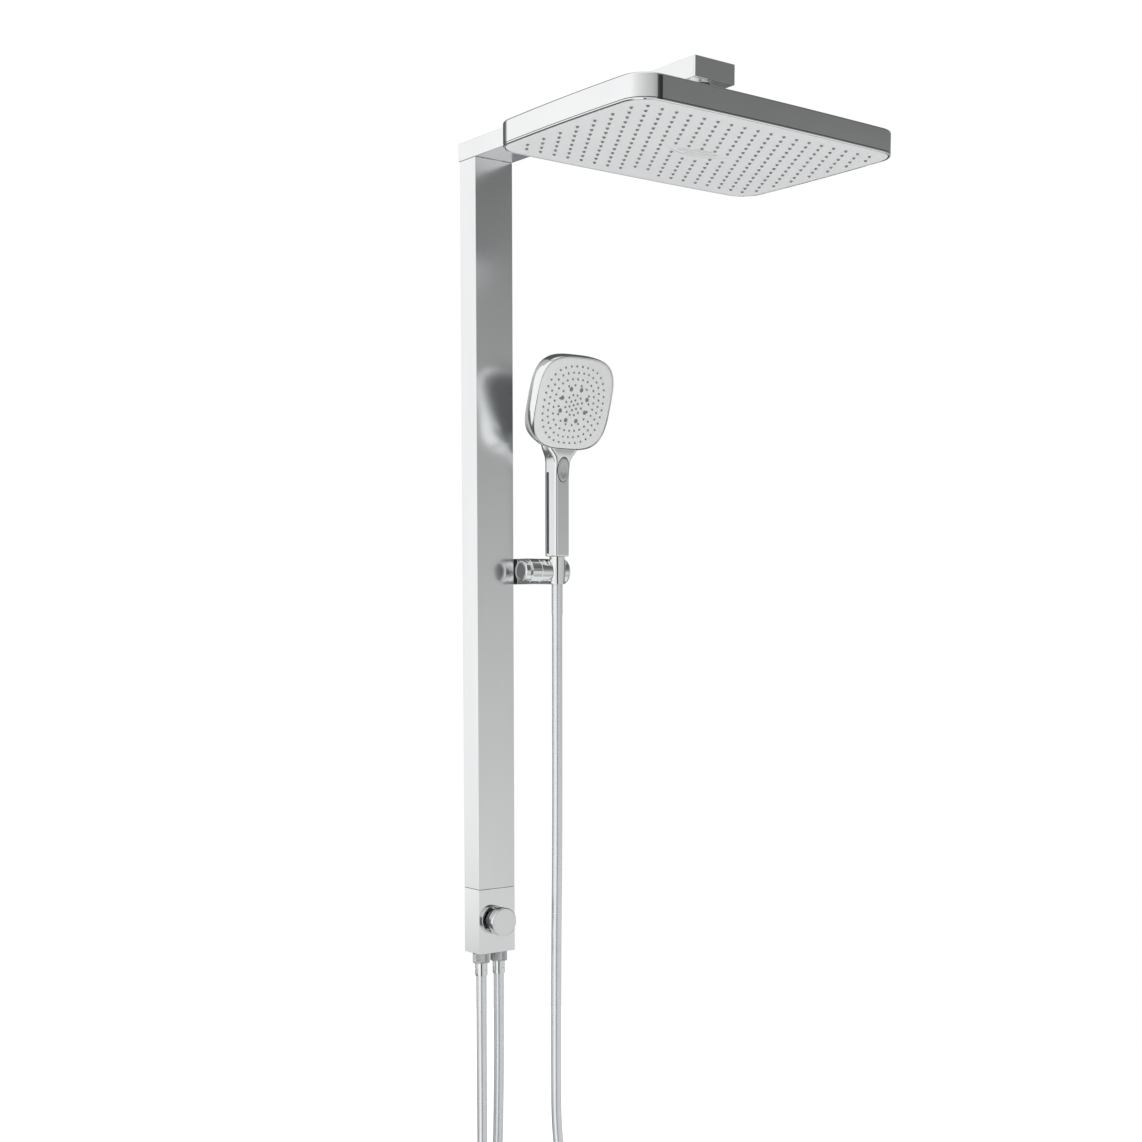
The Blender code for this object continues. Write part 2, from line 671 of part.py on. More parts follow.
def make_head(tilt):
    """Cover, lip, spray plate and the layers between them."""
    side_bottom = HEAD_BOTTOM + LIP_HEIGHT
    loops = [
        head_loop(0.0, side_bottom + GAP),
        head_loop(0.0, HEAD_TOP - 0.0020),
        head_loop(0.0006, HEAD_TOP - 0.0006),
        head_loop(0.0020, HEAD_TOP),
    ]
    cover = loft("head_cover", loops)
    inside_loops = [head_loop(HEAD_WALL, side_bottom - 0.004), head_loop(HEAD_WALL, HEAD_TOP - HEAD_WALL)]
    cut(cover, loft("inside", inside_loops))
    cut(cover, rod("boss_hole", (0, HEAD_Y, 0), 0.0083, HEAD_TOP - 0.006, HEAD_TOP + 0.006, steps=24))
    carried(finished(cover, "chrome"), tilt)

    inner = LIP_INSET + LIP_WIDTH
    lip = loft(
        "head_lip_ring",
        [
            head_loop(0.0, side_bottom),
            head_loop(LIP_INSET * 0.4, side_bottom - LIP_HEIGHT * 0.6),
            head_loop(LIP_INSET, HEAD_BOTTOM),
            head_loop(inner, HEAD_BOTTOM),
            head_loop(inner, side_bottom),
        ],
        ring=True,
    )
    carried(finished(lip, "chrome"), tilt)

    plate_inset = inner + 0.0008
    plate_low = HEAD_BOTTOM + 0.0003
    plate_high = plate_low + SPRAY_PLATE
    plate = loft("head_spray_plate", [head_loop(plate_inset, plate_low), head_loop(plate_inset, plate_high)])
    cut(plate, lens_prism("lens_hole", LENS_LENGTH, LENS_WIDTH, plate_low - 0.002, plate_high + 0.002))
    carried(finished(plate, "white"), tilt)

    mat_low = plate_high + GAP
    mat_high = mat_low + 0.0018
    mat = loft("head_nozzle_mat", [head_loop(plate_inset, mat_low), head_loop(plate_inset, mat_high)])
    hole_size = (LENS_LENGTH + 0.004, LENS_WIDTH + 0.004)
    cut(mat, lens_prism("lens_hole", *hole_size, mat_low - 0.002, mat_high + 0.002))
    carried(finished(mat, "rubber"), tilt)

    insert_size = (LENS_LENGTH - 0.001, LENS_WIDTH - 0.001)
    insert = lens_prism("cascade_insert", *insert_size, plate_low + 0.0002, mat_high)
    for row in (-1, 0, 1):
        length = 0.056 if row == 0 else 0.040
        slit_low = (-length / 2, HEAD_Y + row * 0.0062 - 0.0007, HEAD_BOTTOM - 0.002)
        slit_high = (length / 2, HEAD_Y + row * 0.0062 + 0.0007, mat_high + 0.002)
        cut(insert, box("slit%d" % (row + 2), slit_low, slit_high))
    carried(finished(insert, "white", smooth=False), tilt)

    baffle_low = mat_high + GAP
    baffle_loops = [head_loop(plate_inset, baffle_low + rise) for rise in (0.0, 0.002)]
    baffle = loft("head_baffle", baffle_loops)
    cut(baffle, rod("feed_hole", (0, HEAD_Y, 0), 0.0045, baffle_low - 0.002, baffle_low + 0.004, steps=16))
    carried(finished(baffle, "nylon"), tilt)


# ---------------------------------------------------------------- sliding holder


def block_outline():
    """The holder block from the side: round in front, square with small corners at the back."""
    points = []
    for step in range(15):
        angle = math.pi / 2 + math.pi * step / 14
        points.append((BARREL_Y + BARREL_RADIUS * math.cos(angle),
                       HOLDER_Z + BARREL_RADIUS * math.sin(angle)))
    corner = 0.003
    for middle_z, first in ((HOLDER_Z - BARREL_RADIUS + corner, -90), (HOLDER_Z + BARREL_RADIUS - corner, 0)):
        for step in range(4):
            angle = math.radians(first + 30 * step)
            points.append((BLOCK_BACK - corner + corner * math.cos(angle),
                           middle_z + corner * math.sin(angle)))
    return points


def make_slider():
    slide = pivot("holder_slide_pivot", (BLOCK_LEFT, BARREL_Y, HOLDER_Z))
    half = COLUMN_WIDTH / 2
    neck = SLOT_WIDTH / 2 - 0.0004
    wide = SLOT_ROOM / 2 - 0.0004
    room_left = half - SLOT_DEPTH + 0.0004
    lip = half - SLOT_LIP - 0.0004
    end = BLOCK_LEFT - GAP
    tee = [
        (room_left, COLUMN_MIDDLE - wide), (lip, COLUMN_MIDDLE - wide), (lip, COLUMN_MIDDLE - neck),
        (end, COLUMN_MIDDLE - neck), (end, COLUMN_MIDDLE + neck), (lip, COLUMN_MIDDLE + neck),
        (lip, COLUMN_MIDDLE + wide), (room_left, COLUMN_MIDDLE + wide),
    ]
    shoe = prism("slider_shoe", tee, HOLDER_Z - SHOE_HEIGHT / 2 + 0.010, HOLDER_Z + SHOE_HEIGHT / 2 - 0.010)
    carried(finished(shoe, "steel", smooth=False), slide)

    tall = BARREL_RADIUS - 0.0006
    pad = box("slider_pad", (half + GAP, COLUMN_FRONT + 0.0015, HOLDER_Z - tall),
              (BLOCK_LEFT - GAP, BLOCK_BACK - 0.001, HOLDER_Z + tall))
    cut(pad, box("neck_hole", (half - 0.001, COLUMN_MIDDLE - neck - GAP, HOLDER_Z - SHOE_HEIGHT / 2 + 0.0097),
                 (BLOCK_LEFT + 0.001, COLUMN_MIDDLE + neck + GAP, HOLDER_Z + SHOE_HEIGHT / 2 - 0.0097)))
    carried(finished(pad, "nylon", smooth=False), slide)

    centre = (0, BARREL_Y, HOLDER_Z)
    block = prism("slider_block", block_outline(), BLOCK_LEFT, BLOCK_RIGHT, axis="X")
    floor = BLOCK_LEFT + BUTTON_RECESS
    cut(block, rod("button_recess", centre, BUTTON_RADIUS + GAP, BLOCK_LEFT - 0.005, floor, "X"))
    cut(block, rod("axle_hole", centre, AXLE_RADIUS + GAP, floor - 0.002, BLOCK_RIGHT + 0.002, "X", 20))
    carried(finished(block, "chrome"), slide)

    axle = [
        (0.0, 0.0625), (AXLE_RADIUS, 0.0625), (AXLE_RADIUS, floor - GAP), (0.0075, floor - GAP),
        (0.0075, floor - 0.0019), (0.0, floor - 0.0019),
    ]
    carried(finished(turned("cradle_axle", centre, axle, "X", 20), "steel"), slide)

    coil = []
    coil_low, coil_high = BLOCK_LEFT + 0.0028, floor - 0.0010
    turns, turn_steps = 3, 7
    for step in range(turns * turn_steps + 1):
        angle = 2 * math.pi * step / turn_steps
        along = coil_low + (coil_high - coil_low) * step / (turns * turn_steps)
        coil.append((along, BARREL_Y + 0.0100 * math.cos(angle), HOLDER_Z + 0.0100 * math.sin(angle)))
    carried(wire("release_spring", coil, 0.0005, "steel"), slide)

    press = pivot("holder_button_pivot", (BUTTON_LEFT, BARREL_Y, HOLDER_Z), slide)
    inside = BLOCK_LEFT + 0.0020
    button = [
        (0.0, inside), (BUTTON_RADIUS, inside), (BUTTON_RADIUS, BUTTON_LEFT + 0.0012),
        (BUTTON_RADIUS - 0.0012, BUTTON_LEFT), (0.0, BUTTON_LEFT),
    ]
    carried(finished(turned("release_button", centre, button, "X", 28), "chrome"), press)
    return slide


def make_cradle(slide):
    tilt = pivot("cradle_tilt_pivot", (BLOCK_RIGHT, BARREL_Y, HOLDER_Z), slide)
    centre = (0, BARREL_Y, HOLDER_Z)
    barrel = rod("cradle_barrel", centre, BARREL_RADIUS, BLOCK_RIGHT + GAP, BARREL_RIGHT, "X", 28)
    cone = (HAND_X, HAND_Y, HOLDER_Z)
    reach = 0.022

    def cone_radius(height, extra):
        """The nut's cone, thicker by extra, at a height over the holder's middle."""
        slope = (CONE_TOP_RADIUS - CONE_BOTTOM_RADIUS) / (HANDLE_BOTTOM - CONE_BOTTOM)
        return CONE_BOTTOM_RADIUS + slope * (height + HOLDER_Z - CONE_BOTTOM) + extra

    outer = LINER + 2 * GAP
    bore = [(0, reach), (cone_radius(reach, outer), reach), (cone_radius(-reach, outer), -reach), (0, -reach)]
    cut(barrel, turned("cone_bore", cone, bore, steps=28))
    cut(barrel, rod("axle_socket", centre, AXLE_RADIUS + GAP, BLOCK_RIGHT - 0.002, 0.0629, "X", 20))
    carried(finished(barrel, "chrome"), tilt)

    top, bottom = BARREL_RADIUS - 0.0010, -BARREL_RADIUS + 0.0010
    profile = [
        (cone_radius(top, LINER + GAP), top), (cone_radius(bottom, LINER + GAP), bottom),
        (cone_radius(bottom, GAP), bottom), (cone_radius(top, GAP), top),
    ]
    liner = turned("cone_liner", cone, profile, steps=28, ring=True)
    mouth = 0.0084
    cut(liner, box("mouth", (HAND_X - mouth, HAND_Y - 0.020, HOLDER_Z - 0.03),
                   (HAND_X + mouth, HAND_Y - 0.001, HOLDER_Z + 0.03)))
    carried(finished(liner, "chrome"), tilt)

    cap = [
        (0.0, END_CAP_RIGHT), (BARREL_RADIUS - 0.0020, END_CAP_RIGHT),
        (BARREL_RADIUS - 0.0006, END_CAP_RIGHT - 0.0006), (BARREL_RADIUS, END_CAP_RIGHT - 0.0016),
        (BARREL_RADIUS, BARREL_RIGHT + GAP), (0.0, BARREL_RIGHT + GAP),
    ]
    carried(finished(turned("cradle_end_cap", centre, cap, "X", 28), "chrome"), tilt)

    sleeve_top = CONE_BOTTOM + 0.0090
    kink = [
        (SLEEVE_RADIUS, sleeve_top), (SLEEVE_RADIUS, SLEEVE_BOTTOM), (HOSE_RADIUS + GAP, SLEEVE_BOTTOM),
        (HOSE_RADIUS + GAP, sleeve_top),
    ]
    kink_sleeve = turned("hose_kink_sleeve", (HAND_X, HAND_Y, 0), kink, steps=24, ring=True)
    carried(finished(kink_sleeve, "pvc"), tilt)
    tail_top = HANDLE_BOTTOM - 0.0140
    tail = [
        (0.0074, tail_top), (0.0074, tail_top - 0.0020), (0.0066, tail_top - 0.0020), (0.0066, -0.5300),
        (0.0040, -0.5300), (0.0040, tail_top),
    ]
    hose_tail = turned("hose_end_ferrule", (HAND_X, HAND_Y, 0), tail, steps=20, ring=True)
    carried(finished(hose_tail, "brass"), tilt)
    return tilt


# ---------------------------------------------------------------- hand shower


def face_point(across, upward, behind):
    """A point of the hand shower's head: across and upward in its face, and behind the face."""
    up = Vector((0.0, -math.sin(FACE_TILT), math.cos(FACE_TILT)))
    back = Vector((0.0, math.cos(FACE_TILT), math.sin(FACE_TILT)))
    return FACE_CENTRE + Vector((across, 0.0, 0.0)) + up * upward + back * behind


def face_loop(inset, behind):
    outline = squircle(FACE_WIDTH - 2 * inset, FACE_HEIGHT - 2 * inset)
    return [face_point(point.x, point.y, behind) for point in outline]


def handle_loop(height, width, depth, middle_y, front_corner=0.0036, back_corner=0.0080):
    """The handle's section: a wide flat front with small corners and a rounder back."""
    points = []
    for quarter in range(4):
        sign_x = 1 if quarter in (0, 3) else -1
        sign_y = 1 if quarter in (0, 1) else -1
        radius = back_corner if sign_y > 0 else front_corner
        middle_x = HAND_X + sign_x * (width / 2 - radius)
        corner_y = middle_y + sign_y * (depth / 2 - radius)
        for step in range(6):
            angle = math.pi / 2 * (quarter + step / 5)
            points.append((middle_x + radius * math.cos(angle), corner_y + radius * math.sin(angle), height))
    return points


def make_handset(tilt):
    hand = pivot("handset_swivel_pivot", (HAND_X, HAND_Y, HOLDER_Z), tilt)
    handle = loft("handset_body", [
        handle_loop(HANDLE_BOTTOM, 0.0224, 0.0244, HAND_Y, 0.0028, 0.0072),
        handle_loop(HANDLE_BOTTOM + 0.0010, 0.0240, 0.0260, HAND_Y),
        handle_loop(-0.3700, 0.0240, 0.0260, HAND_Y),
        handle_loop(-0.3520, 0.0248, 0.0266, -0.0782, 0.0042),
        handle_loop(-0.3430, 0.0280, 0.0265, -0.0797, 0.0060),
        handle_loop(-0.3350, 0.0400, 0.0250, -0.0820, 0.0080, 0.0100),
        handle_loop(-0.3250, 0.0560, 0.0190, -0.0850, 0.0080, 0.0090),
        handle_loop(-0.3150, 0.0640, 0.0135, -0.0878, 0.0060, 0.0060),
    ])
    head = loft("head", [
        face_loop(0.0000, 0.0), face_loop(-0.0004, 0.0060), face_loop(0.0004, 0.0190),
        face_loop(0.0050, 0.0245), face_loop(0.0160, 0.0285), face_loop(0.0330, 0.0305),
    ])
    joined(handle, head)
    cut(handle, loft("face_pocket", [face_loop(0.0016, -0.002), face_loop(0.0016, 0.0070)]))
    cut(handle, rod("water_way", (HAND_X, HAND_Y, 0), 0.0063, HANDLE_BOTTOM - 0.005, -0.3725, steps=20))
    pocket = mode_button_shape("button_pocket", GAP, -0.100, -0.0855)
    cut(handle, pocket)
    carried(finished(handle, "chrome"), hand)

    plate = loft("handset_face_plate", [face_loop(0.0022, 0.0004), face_loop(0.0022, 0.0030)])
    carried(finished(plate, "white"), hand)
    mat = loft("handset_nozzle_mat", [face_loop(0.0022, 0.0033), face_loop(0.0022, 0.0050)])
    carried(finished(mat, "rubber"), hand)

    tube = [
        (0.0060, -0.3730), (0.0060, HANDLE_BOTTOM - GAP), (0.0074, HANDLE_BOTTOM - GAP),
        (0.0074, HANDLE_BOTTOM - 0.0120), (0.0045, HANDLE_BOTTOM - 0.0120), (0.0045, -0.3730),
    ]
    inlet = turned("handset_inlet_tube", (HAND_X, HAND_Y, 0), tube, steps=20, ring=True)
    carried(finished(inlet, "brass"), hand)

    nut_top = HANDLE_BOTTOM - 2 * GAP
    nut = [
        (CONE_TOP_RADIUS, nut_top), (CONE_BOTTOM_RADIUS, CONE_BOTTOM), (SLEEVE_RADIUS + GAP, CONE_BOTTOM),
        (SLEEVE_RADIUS + GAP, CONE_BOTTOM + 0.012), (0.0077, CONE_BOTTOM + 0.012), (0.0077, nut_top),
    ]
    cone_nut = turned("hose_cone_nut", (HAND_X, HAND_Y, 0), nut, steps=24, ring=True)
    carried(finished(cone_nut, "chrome"), hand)

    press = pivot("mode_button_pivot", (HAND_X, -0.092, MODE_BUTTON_Z), hand)
    button = mode_button_shape("handset_button", 0.0, -0.0920, -0.0885)
    carried(finished(button, "chrome"), press)


def mode_button_shape(name, extra, front, back):
    """An upright oval pushed from front to back."""
    outline = []
    for step in range(24):
        angle = 2 * math.pi * step / 24
        outline.append((HAND_X + (0.0097 + extra) * math.cos(angle),
                        MODE_BUTTON_Z + (0.0168 + extra) * math.sin(angle)))
    return prism(name, outline, front, back, axis="Y")


make_column()
make_wall_plate("wall_plate_top", 0.0)
make_wall_plate("wall_plate_lower", LOWER_PLATE_Z)
make_arm()
make_arm_pipes()
make_diverter()
make_knob()
make_connector(-1, "inlet")
make_connector(1, "outlet")
make_hoses()
make_head(make_head_joint())
slide_pivot = make_slider()
make_handset(make_cradle(slide_pivot))
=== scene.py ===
import json
import math

import bmesh
import bpy
from mathutils import Matrix, Vector


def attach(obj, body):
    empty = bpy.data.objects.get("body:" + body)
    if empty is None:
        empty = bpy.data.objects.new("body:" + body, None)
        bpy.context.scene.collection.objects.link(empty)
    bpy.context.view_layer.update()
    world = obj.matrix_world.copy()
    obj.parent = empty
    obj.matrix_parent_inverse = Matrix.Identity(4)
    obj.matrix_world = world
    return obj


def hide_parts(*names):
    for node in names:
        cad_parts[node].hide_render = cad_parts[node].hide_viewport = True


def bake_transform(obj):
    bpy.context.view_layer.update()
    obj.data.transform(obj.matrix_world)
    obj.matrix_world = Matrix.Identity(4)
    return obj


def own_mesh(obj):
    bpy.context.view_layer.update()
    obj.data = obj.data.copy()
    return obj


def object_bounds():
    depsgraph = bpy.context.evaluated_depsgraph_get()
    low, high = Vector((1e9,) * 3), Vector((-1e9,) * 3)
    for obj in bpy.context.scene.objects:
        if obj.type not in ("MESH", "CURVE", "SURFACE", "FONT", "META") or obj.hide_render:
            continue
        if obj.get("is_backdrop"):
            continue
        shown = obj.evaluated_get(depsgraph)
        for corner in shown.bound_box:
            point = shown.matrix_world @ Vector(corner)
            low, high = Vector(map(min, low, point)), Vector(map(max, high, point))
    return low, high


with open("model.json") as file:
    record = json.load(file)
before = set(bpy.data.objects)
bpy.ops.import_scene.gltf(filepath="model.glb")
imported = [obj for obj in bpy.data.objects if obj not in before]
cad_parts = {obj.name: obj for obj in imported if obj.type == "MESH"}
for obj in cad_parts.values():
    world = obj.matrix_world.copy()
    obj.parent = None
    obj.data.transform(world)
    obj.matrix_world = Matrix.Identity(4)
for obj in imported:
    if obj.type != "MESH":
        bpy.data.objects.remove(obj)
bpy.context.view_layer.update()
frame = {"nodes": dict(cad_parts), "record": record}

nodes = frame["nodes"]

# Sizes that repeat those of the CAD model
COLUMN_MIDDLE = -0.022
PORT_X = 0.0148
DIVERTER_BOTTOM = -1.020
KNOB_Z = -0.975
HOSE_RADIUS = 0.007
HOSE_START = -1.0375
INLET_END = -1.5375
HEAD_Y = -0.449
HEAD_WIDTH = 0.398
HEAD_DEPTH = 0.267
HEAD_CORNER = 0.031
HEAD_BOW = 0.002
HEAD_TOP = 0.004
HEAD_BOTTOM = -0.024
LIP_TOP = HEAD_BOTTOM + 0.0022
HOLDER_Z = -0.493
BARREL_Y = -0.065
BARREL_RADIUS = 0.0173
HAND_X = 0.077
HAND_Y = -0.077
HANDLE_BOTTOM = -0.4724
CONE_BOTTOM = -0.5106
FACE_CENTRE = Vector((HAND_X, -0.115, -0.2707))
FACE_TILT = math.radians(17.7)
FACE_WIDTH = 0.126
FACE_HEIGHT = 0.125
FACE_POWER = 3.35
MODE_BUTTON_Z = -0.3560
SLEEVE_BOTTOM = -0.552
SLEEVE_RADIUS = 0.0075
SLEEVE_IN_CONE = 0.009
# Points that the shower hose's middle line passes through, from the diverter to the hand shower
SHOWER_HOSE_ROUTE = (
    (PORT_X, COLUMN_MIDDLE, HOSE_START),
    (PORT_X, COLUMN_MIDDLE, -1.100),
    (0.0147, -0.0220, -1.170),
    (0.0140, -0.0214, -1.240),
    (0.0128, -0.0204, -1.300),
    (0.0090, -0.0172, -1.370),
    (0.0040, -0.0130, -1.430),
    (0.0012, -0.0108, -1.478),
    (0.0060, -0.0150, -1.514),
    (0.0240, -0.0308, -1.544),
    (0.0500, -0.0540, -1.554),
    (0.0760, -0.0772, -1.544),
    (0.0940, -0.0930, -1.514),
    (0.0990, -0.0972, -1.478),
    (0.0966, -0.0950, -1.430),
    (0.0888, -0.0879, -1.375),
    (0.0800, -0.0797, -1.320),
    (0.0762, -0.0762, -1.265),
    (0.0756, -0.0756, -1.200),
    (0.0756, -0.0757, -1.100),
    (0.0759, -0.0762, -1.000),
    (0.0765, HAND_Y, -0.900),
    (HAND_X, HAND_Y, -0.790),
    (HAND_X, HAND_Y, -0.700),
    (HAND_X, HAND_Y, -0.620),
    (HAND_X, HAND_Y, -0.540),
)


# ---------------------------------------------------------------- materials

TONE_SCALE = 14.0
GLOSS_SCALE = 30.0
RELIEF_DEPTH = 0.0002
COAT_ROUGHNESS = 0.05
HOSE_GIRTH = 0.044
WINDING_PITCH = 0.003
WINDING_BANDS = 105.0


def material(name, base, other, roughness, metallic=0.0, grain=400.0, bump=0.02, rough_spread=0.04, coat=0.0,
             stretch=(1.0, 1.0, 1.0)):
    """A surface whose colour drifts between two tones and whose gloss and relief vary at a fine grain."""
    made = bpy.data.materials.new(name)
    made.use_nodes = True
    tree = made.node_tree
    shader = tree.nodes["Principled BSDF"]
    shader.inputs["Metallic"].default_value = metallic
    shader.inputs["Coat Weight"].default_value = coat
    shader.inputs["Coat Roughness"].default_value = COAT_ROUGHNESS
    place = tree.nodes.new("ShaderNodeTexCoord")
    scaled = tree.nodes.new("ShaderNodeMapping")
    scaled.inputs["Scale"].default_value = stretch
    tree.links.new(place.outputs["Object"], scaled.inputs["Vector"])

    def noise(scale, detail):
        texture = tree.nodes.new("ShaderNodeTexNoise")
        texture.inputs["Scale"].default_value = scale
        texture.inputs["Detail"].default_value = detail
        tree.links.new(scaled.outputs["Vector"], texture.inputs["Vector"])
        return texture.outputs["Fac"]

    tones = tree.nodes.new("ShaderNodeValToRGB")
    tones.color_ramp.elements[0].position = 0.35
    tones.color_ramp.elements[0].color = (*base, 1.0)
    tones.color_ramp.elements[1].position = 0.70
    tones.color_ramp.elements[1].color = (*other, 1.0)
    tree.links.new(noise(TONE_SCALE, 3.0), tones.inputs["Fac"])
    tree.links.new(tones.outputs["Color"], shader.inputs["Base Color"])
    gloss = tree.nodes.new("ShaderNodeMapRange")
    gloss.inputs["To Min"].default_value = max(0.02, roughness - rough_spread)
    gloss.inputs["To Max"].default_value = roughness + rough_spread
    tree.links.new(noise(GLOSS_SCALE, 4.0), gloss.inputs["Value"])
    tree.links.new(gloss.outputs["Result"], shader.inputs["Roughness"])
    relief = tree.nodes.new("ShaderNodeBump")
    relief.inputs["Strength"].default_value = bump
    relief.inputs["Distance"].default_value = RELIEF_DEPTH
    tree.links.new(noise(grain, 2.0), relief.inputs["Height"])
    tree.links.new(relief.outputs["Normal"], shader.inputs["Normal"])
    return made


CHROME = material("bright_chrome", (0.90, 0.91, 0.915), (0.87, 0.88, 0.885), 0.05, 1.0,
                  bump=0.01, rough_spread=0.02)
SATIN = material("satin_chrome", (0.91, 0.92, 0.925), (0.88, 0.89, 0.895), 0.21, 1.0,
                 grain=900.0, bump=0.015, rough_spread=0.03, stretch=(1.0, 1.0, 0.15))
WHITE = material("spray_plate_white", (0.84, 0.842, 0.845), (0.825, 0.827, 0.83), 0.30,
                 grain=1500.0, bump=0.03)
RUBBER = material("nozzle_silicone", (0.20, 0.205, 0.21), (0.27, 0.275, 0.28), 0.50,
                  grain=2000.0, bump=0.20)
NYLON = material("black_nylon", (0.018, 0.018, 0.019), (0.032, 0.032, 0.034), 0.38,
                 grain=1800.0, bump=0.25)
BRASS = material("bare_brass", (0.72, 0.53, 0.25), (0.62, 0.44, 0.20), 0.24, 1.0,
                 grain=700.0, bump=0.15)
KNURLED = material("knurled_chrome", (0.72, 0.73, 0.74), (0.60, 0.61, 0.62), 0.30, 1.0,
                   grain=1200.0, bump=0.6)
BUTTON = material("button_chrome", (0.60, 0.605, 0.61), (0.55, 0.555, 0.56), 0.20, 1.0,
                  grain=900.0, bump=0.03)
DARK_STEEL = material("dark_steel", (0.30, 0.305, 0.31), (0.25, 0.255, 0.26), 0.32, 1.0,
                      grain=900.0, bump=0.10)
STEEL = material("plain_steel", (0.56, 0.57, 0.58), (0.48, 0.49, 0.50), 0.30, 1.0,
                 grain=900.0, bump=0.15)
GREY = material("grey_inlay", (0.20, 0.205, 0.21), (0.16, 0.165, 0.17), 0.25, 0.6,
                grain=1500.0, bump=0.05)


def hose_material():
    """Silver hose: a smooth clear skin over a fine winding, which runs round it once per pitch."""
    made = material("silver_hose", (0.88, 0.90, 0.92), (0.85, 0.87, 0.89), 0.28, 0.80,
                    grain=300.0, bump=0.05, coat=0.8)
    tree = made.node_tree
    shader = tree.nodes["Principled BSDF"]
    route = tree.nodes.new("ShaderNodeUVMap")
    route.uv_map = "along"
    winding = tree.nodes.new("ShaderNodeTexWave")
    winding.bands_direction = "Y"
    winding.inputs["Scale"].default_value = WINDING_BANDS
    winding.inputs["Distortion"].default_value = 0.2
    tree.links.new(route.outputs["UV"], winding.inputs["Vector"])
    tones = shader.inputs["Base Color"].links[0].from_node
    tint = tree.nodes.new("ShaderNodeMix")
    tint.data_type = "RGBA"
    tint.blend_type = "MULTIPLY"
    tint.inputs["Factor"].default_value = 0.06
    tree.links.new(tones.outputs["Color"], tint.inputs["A"])
    tree.links.new(winding.outputs["Color"], tint.inputs["B"])
    tree.links.new(tint.outputs["Result"], shader.inputs["Base Color"])
    relief = shader.inputs["Normal"].links[0].from_node
    tree.links.new(winding.outputs["Fac"], relief.inputs["Height"])
    return made


HOSE = hose_material()


# ---------------------------------------------------------------- building helpers


def link(thing):
    """Puts an object into the scene, unless it is there already."""
    if not thing.users_collection:
        bpy.context.scene.collection.objects.link(thing)
    return thing


def raw(name, cage):
    """An unlinked object from a bmesh, its normals facing out."""
    bmesh.ops.recalc_face_normals(cage, faces=cage.faces)
    mesh = bpy.data.meshes.new(name)
    cage.to_mesh(mesh)
    cage.free()
    return bpy.data.objects.new(name, mesh)


def bake_modifiers(thing):
    """Swaps the mesh for its evaluated one and drops the modifiers."""
    bpy.context.view_layer.update()
    evaluated = thing.evaluated_get(bpy.context.evaluated_depsgraph_get())
    mesh = bpy.data.meshes.new_from_object(evaluated)
    thing.modifiers.clear()
    thing.data = mesh
    return thing


def subtract(thing, *cutters):
    """Cuts the shapes away for good."""
    link(thing)
    for cutter in cutters:
        link(cutter)
        boolean = thing.modifiers.new("cut", "BOOLEAN")
        boolean.operation = "DIFFERENCE"
        boolean.solver = "EXACT"
        boolean.object = cutter
    bake_modifiers(thing)
    for cutter in cutters:
        bpy.data.objects.remove(cutter, do_unlink=True)
    return thing


def bevel_edges(thing, width, angle, harden):
    """Rounds the edges that turn by more than an angle in degrees."""
    bevel = thing.modifiers.new("edges", "BEVEL")
    bevel.width = width
    bevel.segments = 3
    bevel.limit_method = "ANGLE"
    bevel.angle_limit = math.radians(angle)
    bevel.harden_normals = harden


def piece(thing, body, look, replaced=(), sharp=35.0):
    """Dresses an object, and lets it ride with its body. Edges sharper than an angle stay crisp."""
    link(thing)
    thing.data.materials.clear()
    thing.data.materials.append(look)
    thing.data.shade_smooth()
    thing.data.set_sharp_from_angle(angle=math.radians(sharp))
    weighted = thing.modifiers.new("even_shading", "WEIGHTED_NORMAL")
    weighted.keep_sharp = True
    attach(thing, body)
    if replaced:
        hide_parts(*replaced)
    return thing


# Turns a shape made along Z to lie along X or Y
AXES = {
    "Z": Matrix.Identity(3),
    "X": Matrix(((0, 0, 1), (0, 1, 0), (-1, 0, 0))),
    "Y": Matrix(((1, 0, 0), (0, 0, 1), (0, -1, 0))),
}


def turned(name, centre, profile, axis="Z", steps=64, ripple=0.0, teeth=0, ring=False):
    """A turned shape, with points (radius, height). Points with a third value get a knurl's ripple."""
    cage = bmesh.new()
    place = Matrix.Translation(centre) @ AXES[axis].to_4x4()
    rows = []
    for point in profile:
        radius, height = point[0], point[1]
        if radius == 0.0:
            rows.append([cage.verts.new(place @ Vector((0.0, 0.0, height)))])
            continue
        row = []
        for step in range(steps):
            angle = 2 * math.pi * step / steps
            wave = ripple * math.cos(angle * teeth) if len(point) > 2 else 0.0
            spot = Vector(((radius + wave) * math.cos(angle), (radius + wave) * math.sin(angle), height))
            row.append(cage.verts.new(place @ spot))
        rows.append(row)
    pairs = list(zip(rows, rows[1:]))
    if ring:
        pairs.append((rows[-1], rows[0]))
    for first, second in pairs:
        for step in range(steps):
            after = (step + 1) % steps
            if len(first) == 1:
                cage.faces.new((first[0], second[step], second[after]))
            elif len(second) == 1:
                cage.faces.new((first[after], first[step], second[0]))
            else:
                cage.faces.new((first[step], first[after], second[after], second[step]))
    for row in (rows[0], rows[-1]):
        if not ring and len(row) > 1:
            cage.faces.new(row)
    return raw(name, cage)


def box(name, low, high):
    """A plain box between two corners, to cut with or to bevel."""
    cage = bmesh.new()
    size = [high[axis] - low[axis] for axis in range(3)]
    middle = [(high[axis] + low[axis]) / 2 for axis in range(3)]
    place = Matrix.Translation(middle) @ Matrix.Diagonal((*size, 1.0))
    bmesh.ops.create_cube(cage, size=1.0, matrix=place)
    return raw(name, cage)


